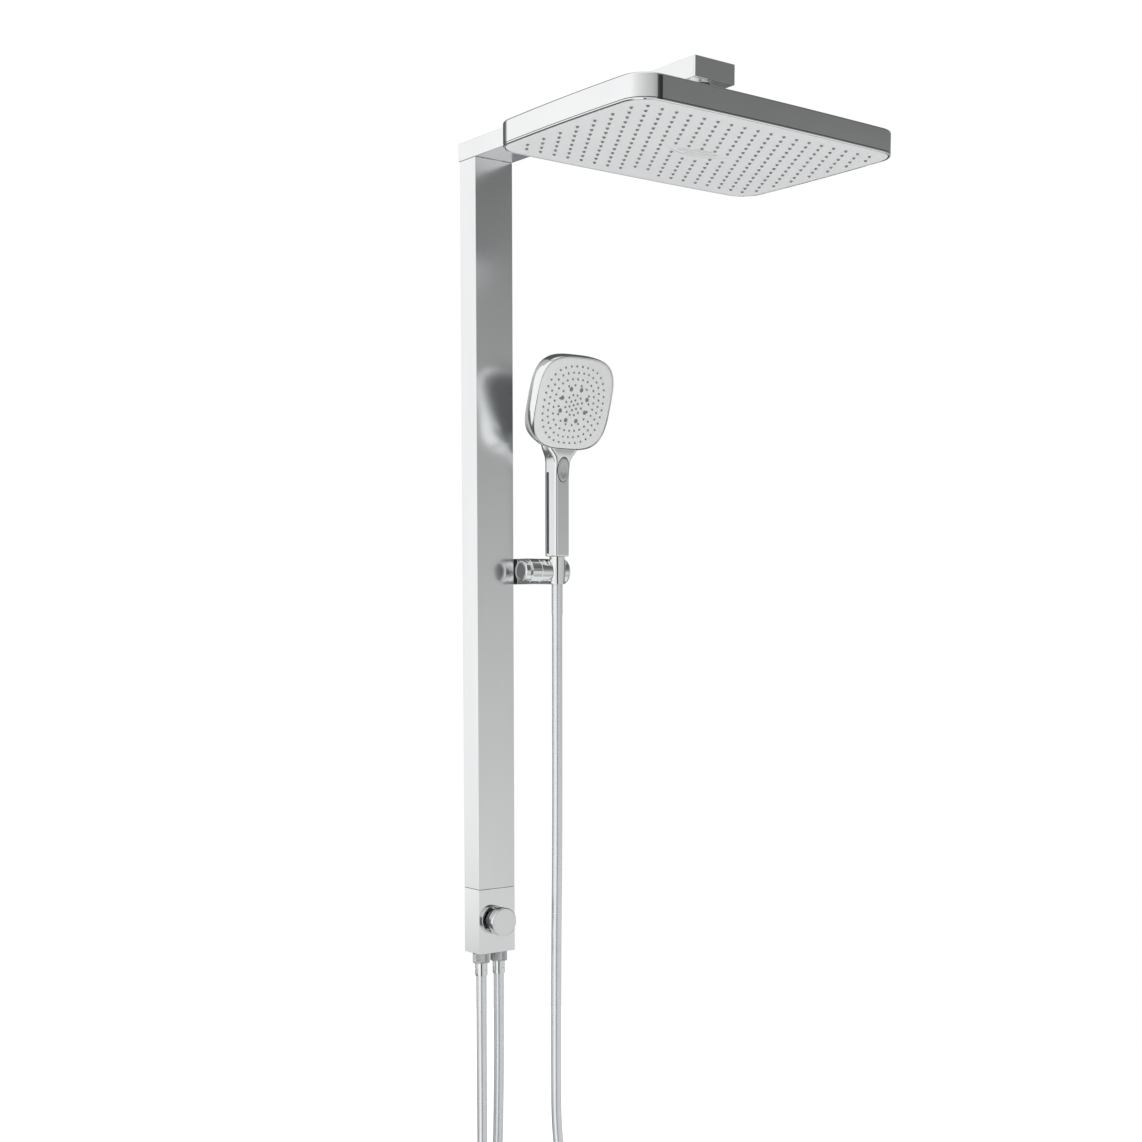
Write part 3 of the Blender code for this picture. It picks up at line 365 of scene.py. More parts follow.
def loft(name, loops, ring=False, start_cap=True, end_cap=True):
    """Loops of equally many points, joined one to the next. A ring also joins the last to the first."""
    cage = bmesh.new()
    rows = [[cage.verts.new(point) for point in loop] for loop in loops]
    pairs = list(zip(rows, rows[1:]))
    if ring:
        pairs.append((rows[-1], rows[0]))
    for lower, upper in pairs:
        for index in range(len(lower)):
            after = (index + 1) % len(lower)
            cage.faces.new((lower[index], lower[after], upper[after], upper[index]))
    if start_cap and not ring:
        cage.faces.new(rows[0])
    if end_cap and not ring:
        cage.faces.new(rows[-1])
    return raw(name, cage)


def prism(name, outline, low, high, axis="Z"):
    """A flat outline carried from low to high, along Z or Y."""
    place = {"Z": lambda a, b, c: (a, b, c), "Y": lambda a, b, c: (a, c, b)}[axis]
    return loft(name, [[place(a, b, level) for a, b in outline] for level in (low, high)])


def rounded_outline(width, depth, radius, bow, corner_steps=14, side_steps=9):
    """A rectangle with round corners, whose sides bulge by the bow at their middles."""
    points = []
    for quarter in range(4):
        sign_x = 1 if quarter in (0, 3) else -1
        sign_y = 1 if quarter in (0, 1) else -1
        middle = Vector((sign_x * (width / 2 - bow - radius), sign_y * (depth / 2 - bow - radius)))
        for step in range(corner_steps + 1):
            angle = math.pi / 2 * (quarter + step / corner_steps)
            points.append(middle + radius * Vector((math.cos(angle), math.sin(angle))))
        turn = math.pi / 2 * (quarter + 1)
        outward = Vector((math.cos(turn), math.sin(turn)))
        start = points[-1]
        span = (width if quarter in (0, 2) else depth) - 2 * (bow + radius)
        along = Vector((-outward.y, outward.x))
        for step in range(1, side_steps + 1):
            share = step / (side_steps + 1)
            points.append(start + along * span * share + outward * bow * 4 * share * (1 - share))
    return points


def squircle(width, height, count=96, power=FACE_POWER):
    """A rectangle with sides and corners swollen into one smooth curve."""
    points = []
    for index in range(count):
        angle = 2 * math.pi * (index + 0.5) / count
        across = math.copysign(abs(math.cos(angle)) ** (2 / power), math.cos(angle))
        upward = math.copysign(abs(math.sin(angle)) ** (2 / power), math.sin(angle))
        points.append(Vector((across * width / 2, upward * height / 2)))
    return points


def smooth_route(points, spacing):
    """Points evenly spaced along the smooth curve through a route's own points."""
    before_first = 2 * Vector(points[0]) - Vector(points[1])
    after_last = 2 * Vector(points[-1]) - Vector(points[-2])
    knots = [before_first, *(Vector(point) for point in points), after_last]
    dense = []
    for before, start, end, after in zip(knots, knots[1:], knots[2:], knots[3:]):
        for step in range(24):
            t = step / 24
            dense.append(
                0.5 * (2 * start + (end - before) * t + (2 * before - 5 * start + 4 * end - after) * t**2
                       + (3 * start - before - 3 * end + after) * t**3)
            )
    dense.append(knots[-2])
    lengths = [0.0]
    for first, second in zip(dense, dense[1:]):
        lengths.append(lengths[-1] + (second - first).length)
    count = max(2, round(lengths[-1] / spacing))
    even = []
    index = 0
    for step in range(count + 1):
        wanted = lengths[-1] * step / count
        while index < len(dense) - 2 and lengths[index + 1] < wanted:
            index += 1
        share = (wanted - lengths[index]) / (lengths[index + 1] - lengths[index])
        even.append(dense[index].lerp(dense[index + 1], min(1.0, share)))
    return even


def tube(name, points, radius, steps=24):
    """A round tube along a path, with a UV map in metres along it."""
    cage = bmesh.new()
    uv_layer = cage.loops.layers.uv.new("along")
    side = Vector((0.0, 1.0, 0.0))
    rows = []
    lengths = [0.0]
    for index, point in enumerate(points):
        ahead = points[min(index + 1, len(points) - 1)] - points[max(index - 1, 0)]
        ahead.normalize()
        side = (side - ahead * side.dot(ahead)).normalized()
        other = ahead.cross(side)
        row = []
        for step in range(steps):
            angle = 2 * math.pi * step / steps
            row.append(cage.verts.new(point + (side * math.cos(angle) + other * math.sin(angle)) * radius))
        rows.append(row)
        if index:
            lengths.append(lengths[-1] + (point - points[index - 1]).length)
    for index in range(len(rows) - 1):
        for step in range(steps):
            after = (step + 1) % steps
            lower, upper = rows[index], rows[index + 1]
            face = cage.faces.new((lower[step], lower[after], upper[after], upper[step]))
            spots = ((step, index), (step + 1, index), (step + 1, index + 1), (step, index + 1))
            for loop, (around, row) in zip(face.loops, spots):
                turn = around / steps
                loop[uv_layer].uv = (turn * HOSE_GIRTH, lengths[row] + turn * WINDING_PITCH)
    cage.faces.new(rows[0])
    cage.faces.new(rows[-1])
    return raw(name, cage)


# ---------------------------------------------------------------- camera, light and floor

# The camera was fitted to the straight edges of the photographed object
scene = bpy.context.scene
camera_data = bpy.data.cameras.new("camera")
camera_data.lens = 54.80
camera_data.sensor_width = 36.0
camera_data.shift_y = 0.1961
camera_data.clip_end = 50.0
camera = link(bpy.data.objects.new("camera", camera_data))
camera.location = (-1.3737, -1.9951, -0.5480)
camera.rotation_euler = (math.radians(90.0 - 6.0139), 0.0, math.radians(-37.5555))
scene.camera = camera
scene.view_settings.view_transform = "Standard"

# The studio's brightness as (position, level). The first two run round the horizon, above and below it,
# with 0 and 1 at +Y, 0.25 at -X, 0.5 at -Y and 0.75 at +X. The third runs from straight down to straight up.
HIGH_STOPS = (
    (0.0, 0.10), (0.05, 0.25), (0.078, 1.0), (0.24, 1.0), (0.32, 0.80), (0.40, 0.65), (0.48, 0.52),
    (0.53, 0.40), (0.55, 0.04), (0.60, 0.04), (0.70, 0.35), (0.78, 0.35), (0.84, 0.10), (1.0, 0.10),
)
LOW_STOPS = (
    (0.0, 0.10), (0.05, 0.30), (0.078, 1.0), (0.365, 1.0), (0.385, 0.06), (0.435, 0.08), (0.455, 0.62),
    (0.545, 0.60), (0.70, 0.75), (0.78, 0.78), (0.84, 0.15), (0.95, 0.10), (1.0, 0.10),
)
FLAG_STOPS = (
    (0.0, 0.80), (0.16, 0.80), (0.24, 0.50), (0.30, 0.52), (0.36, 0.70), (0.42, 0.69), (0.59, 0.27),
    (0.63, 0.19), (0.74, 0.13), (0.86, 0.13), (1.0, 1.0),
)
# A small dark patch ahead, to the right and above, and a wide grey one that the arm's underside mirrors
DARK_PATCH = (0.475, -0.825, 0.31)
ARM_UNDERSIDE_PATCH = (0.64, 0.72, -0.28)


def studio():
    """Lights the scene. The camera sees plain white. Mirrors see a studio that is bright on the left and
    dark behind, with a narrow dark strip near straight ahead and a flag on the right that darkens with
    height."""
    world = bpy.data.worlds.new("studio")
    scene.world = world
    world.use_nodes = True
    tree = world.node_tree
    tree.nodes.clear()
    place = tree.nodes.new("ShaderNodeTexCoord")
    axes = tree.nodes.new("ShaderNodeSeparateXYZ")
    tree.links.new(place.outputs["Generated"], axes.inputs["Vector"])

    def math_node(operation, first, second=None):
        made = tree.nodes.new("ShaderNodeMath")
        made.operation = operation
        for socket, value in zip(made.inputs, (first, second)):
            if value is None:
                continue
            if isinstance(value, float):
                socket.default_value = value
            else:
                tree.links.new(value, socket)
        return made.outputs["Value"]

    def near(direction, outer, inner):
        """1 close to a direction and 0 away from it. The limits are cosines."""
        dot = tree.nodes.new("ShaderNodeVectorMath")
        dot.operation = "DOT_PRODUCT"
        dot.inputs[1].default_value = Vector(direction).normalized()
        tree.links.new(place.outputs["Generated"], dot.inputs[0])
        return fade(dot.outputs["Value"], outer, inner)

    def fade(value, outer, inner):
        """0 at outer and 1 at inner, smoothly."""
        made = tree.nodes.new("ShaderNodeMapRange")
        made.interpolation_type = "SMOOTHSTEP"
        made.inputs["From Min"].default_value = outer
        made.inputs["From Max"].default_value = inner
        tree.links.new(value, made.inputs["Value"])
        return made.outputs["Result"]

    def ramp(value, stops):
        made = tree.nodes.new("ShaderNodeValToRGB")
        elements = made.color_ramp.elements
        elements[0].position = stops[0][0]
        elements[1].position = stops[-1][0]
        for position, _ in stops[1:-1]:
            elements.new(position)
        for element, (_, level) in zip(elements, stops):
            element.color = (level * 0.995, level, level, 1.0)
        tree.links.new(value, made.inputs["Fac"])
        return made.outputs["Color"]

    def mixed(factor, under, over):
        mix = tree.nodes.new("ShaderNodeMix")
        mix.data_type = "RGBA"
        tree.links.new(factor, mix.inputs["Factor"])
        for socket, value in ((mix.inputs["A"], under), (mix.inputs["B"], over)):
            if isinstance(value, tuple):
                socket.default_value = (*value, 1.0)
            else:
                tree.links.new(value, socket)
        return mix.outputs["Result"]

    turn = math_node("ARCTAN2", axes.outputs["X"], math_node("MULTIPLY", axes.outputs["Y"], -1.0))
    bearing = math_node("ADD", math_node("DIVIDE", turn, 2 * math.pi), 0.5)
    height = math_node("ADD", math_node("MULTIPLY", axes.outputs["Z"], 0.5), 0.5)
    above = fade(axes.outputs["Z"], 0.08, 0.18)
    round_about = mixed(above, ramp(bearing, LOW_STOPS), ramp(bearing, HIGH_STOPS))
    flag = ramp(height, FLAG_STOPS)
    in_flag = math_node("MULTIPLY", fade(bearing, 0.556, 0.580), fade(bearing, 0.84, 0.78))
    sky = mixed(in_flag, round_about, flag)
    low = fade(axes.outputs["Z"], -0.12, -0.32)
    low_behind = math_node("MULTIPLY", low, fade(axes.outputs["Y"], 0.0, 0.35))
    sky = mixed(low_behind, sky, (0.10, 0.10, 0.10))
    sky = mixed(near(DARK_PATCH, 0.990, 0.998), sky, (0.03, 0.03, 0.03))
    overhead = fade(axes.outputs["Z"], 0.82, 0.95)
    sky = mixed(overhead, sky, (1.0, 1.0, 1.0))
    sky = mixed(near(ARM_UNDERSIDE_PATCH, 0.80, 0.93), sky, (0.22, 0.23, 0.245))
    seen = tree.nodes.new("ShaderNodeLightPath")
    sky = mixed(seen.outputs["Is Camera Ray"], sky, (1.0, 1.0, 1.0))
    background = tree.nodes.new("ShaderNodeBackground")
    tree.links.new(sky, background.inputs["Color"])
    output = tree.nodes.new("ShaderNodeOutputWorld")
    tree.links.new(background.outputs["Background"], output.inputs["Surface"])


FLOOR_RADIUS = 2.2
FLOOR_MIDDLE_Y = -0.25
FLOOR_GAP = 0.004


def floor():
    """A pale round floor just under the lowest point. It doesn't show in reflections."""
    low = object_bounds()[0]
    cage = bmesh.new()
    place = Matrix.Translation((0.0, FLOOR_MIDDLE_Y, low.z - FLOOR_GAP))
    bmesh.ops.create_circle(cage, cap_ends=True, segments=96, radius=FLOOR_RADIUS, matrix=place)
    ground = link(raw("floor", cage))
    look = bpy.data.materials.new("pale_floor")
    look.use_nodes = True
    shader = look.node_tree.nodes["Principled BSDF"]
    shader.inputs["Base Color"].default_value = (0.9, 0.9, 0.9, 1.0)
    shader.inputs["Roughness"].default_value = 0.9
    shader.inputs["Emission Color"].default_value = (1.0, 1.0, 1.0, 1.0)
    shader.inputs["Emission Strength"].default_value = 0.60
    ground.data.materials.append(look)
    ground.visible_glossy = False
    ground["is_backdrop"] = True


def soft_light(name, place, target, size, power):
    """A rectangular lamp that points at a target and doesn't show in reflections."""
    data = bpy.data.lights.new(name, "AREA")
    data.shape = "RECTANGLE"
    data.size, data.size_y = size
    data.energy = power
    light = link(bpy.data.objects.new(name, data))
    light.visible_glossy = False
    light.location = place
    light.rotation_euler = (Vector(target) - Vector(place)).to_track_quat("-Z", "Y").to_euler()


studio()
floor()
soft_light("key", (-2.2, -1.6, 1.6), (0.0, -0.3, -0.4), (1.6, 1.6), 26.0)

# ---------------------------------------------------------------- hoses

shower_points = smooth_route(SHOWER_HOSE_ROUTE, 0.008)
shower_hose = link(tube("shower_hose_tube", shower_points, HOSE_RADIUS))
shower_hose.data.materials.append(HOSE)
shower_hose.data.shade_smooth()
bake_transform(shower_hose)
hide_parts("shower_hose")

inlet_top = Vector((-PORT_X, COLUMN_MIDDLE, HOSE_START))
inlet_bottom = Vector((-PORT_X, COLUMN_MIDDLE, INLET_END))
inlet_points = [inlet_top.lerp(inlet_bottom, step / 60) for step in range(61)]
inlet_hose = piece(tube("inlet_hose_tube", inlet_points, HOSE_RADIUS), "column", HOSE,
                   ["inlet_hose"])

# The sleeve under the cone nut
kink_drop = SLEEVE_BOTTOM - CONE_BOTTOM - SLEEVE_IN_CONE
kink_points = [Vector((HAND_X, HAND_Y, CONE_BOTTOM + SLEEVE_IN_CONE + kink_drop * step / 24))
               for step in range(25)]
kink = link(tube("kink_sleeve", kink_points, SLEEVE_RADIUS, 32))
kink.data.materials.append(HOSE)
kink.data.shade_smooth()
kink.data.set_sharp_from_angle(angle=math.radians(40))
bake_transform(kink)
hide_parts("hose_kink_sleeve", "hose_end_ferrule")


# ---------------------------------------------------------------- hose connectors

KNURL_TEETH = 36
KNURL_DEPTH = 0.00032


def connector(side, label):
    """A knurled nut and a smooth crimped ferrule with a dark seam."""
    centre = (side * PORT_X, COLUMN_MIDDLE, DIVERTER_BOTTOM)
    nut = [
        (0.0106, -0.0008), (0.0113, -0.0008), (0.0118, -0.0013), (0.0118, -0.0022), (0.01155, -0.0026, 1),
        (0.01155, -0.0132, 1), (0.0118, -0.0136), (0.0118, -0.0147), (0.0113, -0.0153), (0.0080, -0.0153),
        (0.0080, -0.0120), (0.0106, -0.0120),
    ]
    knurled_nut = turned(label + "_knurled_nut", centre, nut, steps=6 * KNURL_TEETH,
                         ripple=KNURL_DEPTH, teeth=KNURL_TEETH, ring=True)
    piece(knurled_nut, "column", KNURLED, [label + "_hose_nut"])
    sleeve = [
        (0.0074, -0.0135), (0.0074, -0.0156), (0.0081, -0.0156), (0.0084, -0.0160), (0.0084, -0.0236),
        (0.0080, -0.0239), (0.0080, -0.0254), (0.0084, -0.0257), (0.0084, -0.0328), (0.0081, -0.0336),
        (0.0073, -0.0336), (0.0073, -0.0160),
    ]
    ferrule = turned(label + "_crimped_ferrule", centre, sleeve, ring=True)
    piece(ferrule, "column", CHROME, [label + "_ferrule"])


connector(-1, "inlet")
connector(1, "outlet")


# ---------------------------------------------------------------- rain head


def head_loop(inset, height):
    """The rain head's outline, smaller by the inset, at a height."""
    outline = rounded_outline(HEAD_WIDTH - 2 * inset, HEAD_DEPTH - 2 * inset, HEAD_CORNER - inset, HEAD_BOW)
    return [(point.x, point.y + HEAD_Y, height) for point in outline]


def head_part(name, profile, **options):
    """A part of the rain head from a profile of (inset, height)."""
    return loft(name, [head_loop(inset, height) for inset, height in profile], **options)


def arc_profile(height, radius, steps=5):
    """Insets and heights of the cover's rounded top edge."""
    angles = [math.pi / 2 * k / steps for k in range(steps + 1)]
    return [(radius * (1 - math.cos(angle)), height - radius + radius * math.sin(angle))
            for angle in angles]


COVER_EDGE = HEAD_TOP - 0.0004
cover_profile = [
    (0.0010, LIP_TOP + 0.0006), (0.0, LIP_TOP + 0.0008), (0.0, -0.012), *arc_profile(COVER_EDGE, 0.0022),
    (0.0070, COVER_EDGE), (0.0073, HEAD_TOP - 0.0010), (0.0082, HEAD_TOP - 0.0010),
    (0.0085, HEAD_TOP - 0.0003), (0.0110, HEAD_TOP), (0.0200, HEAD_TOP),
]
head_cover = head_part("rain_head_cover", cover_profile, start_cap=False)
piece(head_cover, "head", CHROME, ["head_cover"])

lip_profile = [
    (0.0, LIP_TOP), (0.0, LIP_TOP - 0.0012), (0.0008, HEAD_BOTTOM + 0.0001), (0.0011, HEAD_BOTTOM),
    (0.0017, HEAD_BOTTOM), (0.0020, HEAD_BOTTOM + 0.0003), (0.0020, LIP_TOP),
]
head_lip = head_part("rain_head_lip", lip_profile, ring=True)
piece(head_lip, "head", CHROME, ["head_lip_ring"])
seal_profile = [
    (0.0007, LIP_TOP + 0.0001), (0.0024, LIP_TOP + 0.0001),
    (0.0024, LIP_TOP + 0.0010), (0.0007, LIP_TOP + 0.0010),
]
piece(head_part("rain_head_seal", seal_profile, ring=True), "head", NYLON)
gasket_profile = [
    (0.0021, LIP_TOP - 0.0012), (0.0029, LIP_TOP - 0.0012),
    (0.0029, LIP_TOP - 0.0002), (0.0021, LIP_TOP - 0.0002),
]
piece(head_part("rain_head_gasket", gasket_profile, ring=True), "head", NYLON)


def lens_outline(length, width, count=28):
    """A pointed oval made of two arcs."""
    radius = (length**2 / 4 + width**2 / 4) / width
    reach = math.asin(length / 2 / radius)
    outline = []
    for side in (1, -1):
        for step in range(count):
            angle = reach * (1 - 2 * step / count) * side
            height = radius * math.cos(angle) - radius + width / 2
            outline.append((radius * math.sin(angle), HEAD_Y + side * height))
    return outline


PLATE_LOW = HEAD_BOTTOM + 0.0003
plate_profile = [(0.0030, PLATE_LOW + 0.0018), (0.0030, PLATE_LOW + 0.0004), (0.0033, PLATE_LOW)]
spray_plate = head_part("rain_spray_plate", plate_profile)
lens_cutter = prism("lens_cutter", lens_outline(0.092, 0.030), PLATE_LOW - 0.003, PLATE_LOW + 0.005)
subtract(spray_plate, lens_cutter)
piece(spray_plate, "head", WHITE, ["head_spray_plate"])

SLIT_PITCH = 0.0058
SLIT_HALF_WIDTH = 0.0008
insert = prism("cascade_lens", lens_outline(0.0908, 0.0288), PLATE_LOW + 0.0002, PLATE_LOW + 0.0036)
slits = []
for row, reach in ((-1.5, 0.015), (-0.5, 0.029), (0.5, 0.029), (1.5, 0.015)):
    middle = HEAD_Y + row * SLIT_PITCH
    slits.append(box("slit", (-reach, middle - SLIT_HALF_WIDTH, HEAD_BOTTOM - 0.002),
                     (reach, middle + SLIT_HALF_WIDTH, 0.0)))
subtract(insert, *slits)
piece(insert, "head", WHITE, ["cascade_insert"])

NOZZLE_PITCH_X = 0.0197
NOZZLE_PITCH_Y = 0.0153
NOZZLE_ROWS = 15
NOZZLE_SHIFT_Y = -0.0015


def beside_lens(x, y, half_length=0.050, half_width=0.016, margin=0.002, longest=0.044):
    """Whether a nozzle would stand in the cascade lens, taken as a diamond, or too near its edge."""
    reach = half_width * (1 - abs(x) / half_length) + margin
    return abs(x) < longest and abs(y - HEAD_Y) < reach


nozzle_spots = []
for row in range(NOZZLE_ROWS):
    y = HEAD_Y + NOZZLE_SHIFT_Y + (row - (NOZZLE_ROWS - 1) / 2) * NOZZLE_PITCH_Y
    count = 18 if row % 2 == 0 else 19
    for column in range(count):
        x = (column - (count - 1) / 2) * NOZZLE_PITCH_X
        middle_of_last = row == NOZZLE_ROWS - 1 and abs(x) < NOZZLE_PITCH_X
        if not beside_lens(x, y) and not middle_of_last:
            nozzle_spots.append(Vector((x, y, PLATE_LOW)))


def circle(radius_across, radius_up, count):
    """Points round a circle or oval, as (across, up)."""
    angles = [2 * math.pi * k / count for k in range(count)]
    return [(radius_across * math.cos(angle), radius_up * math.sin(angle)) for angle in angles]


def nozzles(name, spots, outward, profile, steps=12):
    """Little silicone tips, as one mesh: each profile point is (radius, height out of the plate)."""
    cage = bmesh.new()
    turn = Vector((0.0, 0.0, 1.0)).rotation_difference(outward).to_matrix()
    for spot in spots:
        rows = [
            [cage.verts.new(spot + turn @ Vector((x, y, height))) for x, y in circle(radius, radius, steps)]
            for radius, height in profile
        ]
        for first, second in zip(rows, rows[1:]):
            for k in range(steps):
                after = (k + 1) % steps
                cage.faces.new((first[k], first[after], second[after], second[k]))
        cage.faces.new(rows[0])
        cage.faces.new(rows[-1])
    return raw(name, cage)


RAIN_TIP = [
    (0.0021, -0.0006), (0.0021, 0.0002), (0.0017, 0.0007), (0.0014, 0.0016), (0.0011, 0.0017),
    (0.0006, 0.0016), (0.0005, 0.0004),
]
rain_nozzles = nozzles("rain_nozzles", nozzle_spots, Vector((0, 0, -1)), RAIN_TIP)
piece(rain_nozzles, "head", RUBBER, sharp=50)

# Four caps over the cover's screws
SCREW_CAP = [(0.0, 0.0012), (0.0045, 0.0012), (0.0052, 0.0006), (0.0052, -0.0006)]
for k, (x, y) in enumerate(((-0.188, -0.424), (-0.188, -0.465), (0.188, -0.424), (0.188, -0.465))):
    cap = turned("cover_screw_cap%d" % k, (x, y, HEAD_TOP), SCREW_CAP, steps=32)
    piece(cap, "head", RUBBER)

# ---------------------------------------------------------------- hand shower


def face_point(across, upward, behind):
    """A point in the tilted frame of the hand shower's face."""
    up = Vector((0.0, -math.sin(FACE_TILT), math.cos(FACE_TILT)))
    back = Vector((0.0, math.cos(FACE_TILT), math.sin(FACE_TILT)))
    return FACE_CENTRE + Vector((across, 0.0, 0.0)) + up * upward + back * behind


def face_outline(inset):
    return squircle(FACE_WIDTH - 2 * inset, FACE_HEIGHT - 2 * inset)


# The shell's lower half is chamfered: the chamfer begins nearer to the face the lower a point lies
CHAMFER_TOP = 0.014
CHAMFER_SPAN = 0.062
CHAMFER_START_TOP = 0.0215
CHAMFER_START_DROP = 0.0185
CHAMFER_END = 0.0245
CHAMFER_SLOPE = 0.25
DEEPEST = 0.0070
DEEPEST_FROM = 0.0190


def shell_loop(inset, behind):
    """A loop of the head's shell, whose lower half leans in and stands further back."""
    points = []
    for spot in face_outline(inset):
        share = min(1.0, max(0.0, (CHAMFER_TOP - spot.y) / CHAMFER_SPAN))
        start = CHAMFER_START_TOP - CHAMFER_START_DROP * share
        lean = 1.0 - CHAMFER_SLOPE * max(0.0, min(behind, CHAMFER_END) - start) / spot.length
        deeper = DEEPEST * share * min(1.0, behind / DEEPEST_FROM)
        points.append(face_point(spot.x * lean, spot.y * lean, behind + deeper))
    return points


# (inset, distance behind the face's plane)
shell_profile = [
    (0.0018, 0.0012), (0.0016, 0.0002), (0.0010, -0.0001), (0.0004, 0.0002), (0.0000, 0.0012),
    (-0.0003, 0.0030), (-0.0004, 0.0050), (-0.0004, 0.0070), (-0.0004, 0.0090), (-0.0004, 0.0110),
    (-0.0003, 0.0130), (-0.0002, 0.0150), (0.0000, 0.0170), (0.0004, 0.0190), (0.0010, 0.0205),
    (0.0026, 0.0228), (0.0050, 0.0245), (0.0090, 0.0264), (0.0160, 0.0285), (0.0240, 0.0298),
    (0.0330, 0.0305), (0.0450, 0.0308),
]
shell_loops = [shell_loop(inset, behind) for inset, behind in shell_profile]
hand_head = loft("hand_shower_head", shell_loops, start_cap=False)
piece(hand_head, "handset", CHROME, sharp=24)

BACK_FLARE = 0.0023
HANDLE_FRONT = HAND_Y - 0.0130


def handle_loop(height, width, depth, middle_y, front_corner=0.0036, back_corner=0.0080):
    """The handle's section: a wide flat front with small corners, and a rounder and wider back."""
    points = []
    for quarter in range(4):
        sign_x = 1 if quarter in (0, 3) else -1
        sign_y = 1 if quarter in (0, 1) else -1
        radius = back_corner if sign_y > 0 else front_corner
        middle_x = HAND_X + sign_x * (width / 2 - radius + (BACK_FLARE if sign_y > 0 else 0.0))
        corner_y = middle_y + sign_y * (depth / 2 - radius)
        for step in range(11):
            angle = math.pi / 2 * (quarter + step / 10)
            x = middle_x + radius * math.cos(angle)
            points.append((x, corner_y + radius * math.sin(angle), height))
    return points


# (height, width, depth, middle's Y, front corner radius, back corner radius)
handle_sections = [
    (HANDLE_BOTTOM, 0.0218, 0.0238, HAND_Y, 0.0025, 0.0070),
    (HANDLE_BOTTOM + 0.0003, 0.0228, 0.0248, HAND_Y, 0.0030, 0.0075),
    (HANDLE_BOTTOM + 0.0010, 0.0238, 0.0258, HAND_Y),
    (-0.4660, 0.0240, 0.0260, HAND_Y),
    (-0.4200, 0.0240, 0.0260, HAND_Y),
    (-0.3700, 0.0240, 0.0260, HAND_Y),
    (-0.3600, 0.0242, 0.0262, -0.0774, 0.0038),
    (-0.3520, 0.0248, 0.0266, -0.0782, 0.0042),
    (-0.3470, 0.0260, 0.0267, -0.0790, 0.0050),
    (-0.3430, 0.0280, 0.0265, -0.0797, 0.0060),
    (-0.3390, 0.0324, 0.0260, -0.0808, 0.0070, 0.0090),
    (-0.3350, 0.0394, 0.0250, -0.0820, 0.0080, 0.0100),
    (-0.3300, 0.0488, 0.0220, -0.0835, 0.0084, 0.0100),
    (-0.3250, 0.0558, 0.0190, -0.0850, 0.0080, 0.0090),
    (-0.3150, 0.0640, 0.0135, -0.0878, 0.0060, 0.0060),
]
handle = loft("hand_shower_handle", [handle_loop(*section) for section in handle_sections])
button_hole = [(HAND_X + across, MODE_BUTTON_Z + up) for across, up in circle(0.0100, 0.0171, 64)]
button_cutter = prism("button_cutter", button_hole, -0.100, -0.0855, axis="Y")
# A shallow groove along the handle's left side, and the strip that lies in it
strip_cutter = box("strip", (HAND_X - 0.020, -0.0768, -0.4690), (HAND_X - 0.0128, -0.0724, -0.3590))
subtract(handle, button_cutter, strip_cutter)
piece(handle, "handset", CHROME, ["handset_body"], sharp=32)
inlay = link(box("handle_inlay", (HAND_X - 0.0132, -0.0765, -0.4687), (HAND_X - 0.0122, -0.0727, -0.3593)))
bevel_edges(inlay, 0.0002, 30.0, False)
piece(bake_modifiers(inlay), "handset", GREY)

# (inset, distance behind the face's plane)
face_profile = [
    (0.0020, 0.0030), (0.0020, 0.0009), (0.0026, 0.0004), (0.0060, 0.0001), (0.0180, -0.0006),
    (0.0400, -0.0010),
]
face_loops = [[face_point(spot.x, spot.y, behind) for spot in face_outline(inset)]
              for inset, behind in face_profile]
face_plate = loft("hand_face_plate", face_loops)
piece(face_plate, "handset", WHITE, ["handset_face_plate"], sharp=50)

# The nozzle pattern sits a little off the face's middle. The plate stands furthest forward up to a share
# of the way out, and falls back from there to its edge.
PATTERN_ACROSS = -0.0012
PATTERN_UP = -0.0016
PLATE_MIDDLE = -0.0010
PLATE_FALL = 0.0011
FALL_FROM = 0.36
RING_STEPS = 720
RING_POWER = 2.6


def on_face(across, upward):
    """The spot on the face plate's surface for a place in the nozzle pattern."""
    across, upward = across + PATTERN_ACROSS, upward + PATTERN_UP
    reach = max(abs(across) / FACE_WIDTH, abs(upward) / FACE_HEIGHT) * 2
    behind = PLATE_MIDDLE + PLATE_FALL * max(0.0, reach - FALL_FROM) / (1.0 - FALL_FROM)
    return face_point(across, upward, behind)


# Outer rings of nozzles that follow the face's outline: (half width, half height, count, phase)
OUTER_RINGS = (
    (0.0489, 0.0512, 36, 0.5),
    (0.0408, 0.0430, 32, 0.0),
    (0.0326, 0.0345, 26, 0.5),
    (0.0246, 0.0266, 16, 0.25),
)
small_spots = []
for half_width, half_height, count, phase in OUTER_RINGS:
    ring = squircle(2 * half_width, 2 * half_height, RING_STEPS, RING_POWER)
    lengths = [0.0]
    for k in range(RING_STEPS):
        lengths.append(lengths[-1] + (ring[(k + 1) % RING_STEPS] - ring[k]).length)
    for k in range(count):
        wanted = lengths[-1] * (k + phase) / count
        index = min(range(RING_STEPS), key=lambda n: abs(lengths[n] - wanted))
        small_spots.append(on_face(*ring[index]))


def round_ring(radius, count, phase):
    """Spots in a round ring. The phase is in steps of the ring."""
    angles = [2 * math.pi * (k + phase) / count for k in range(count)]
    return [on_face(radius * math.cos(angle), radius * math.sin(angle)) for angle in angles]


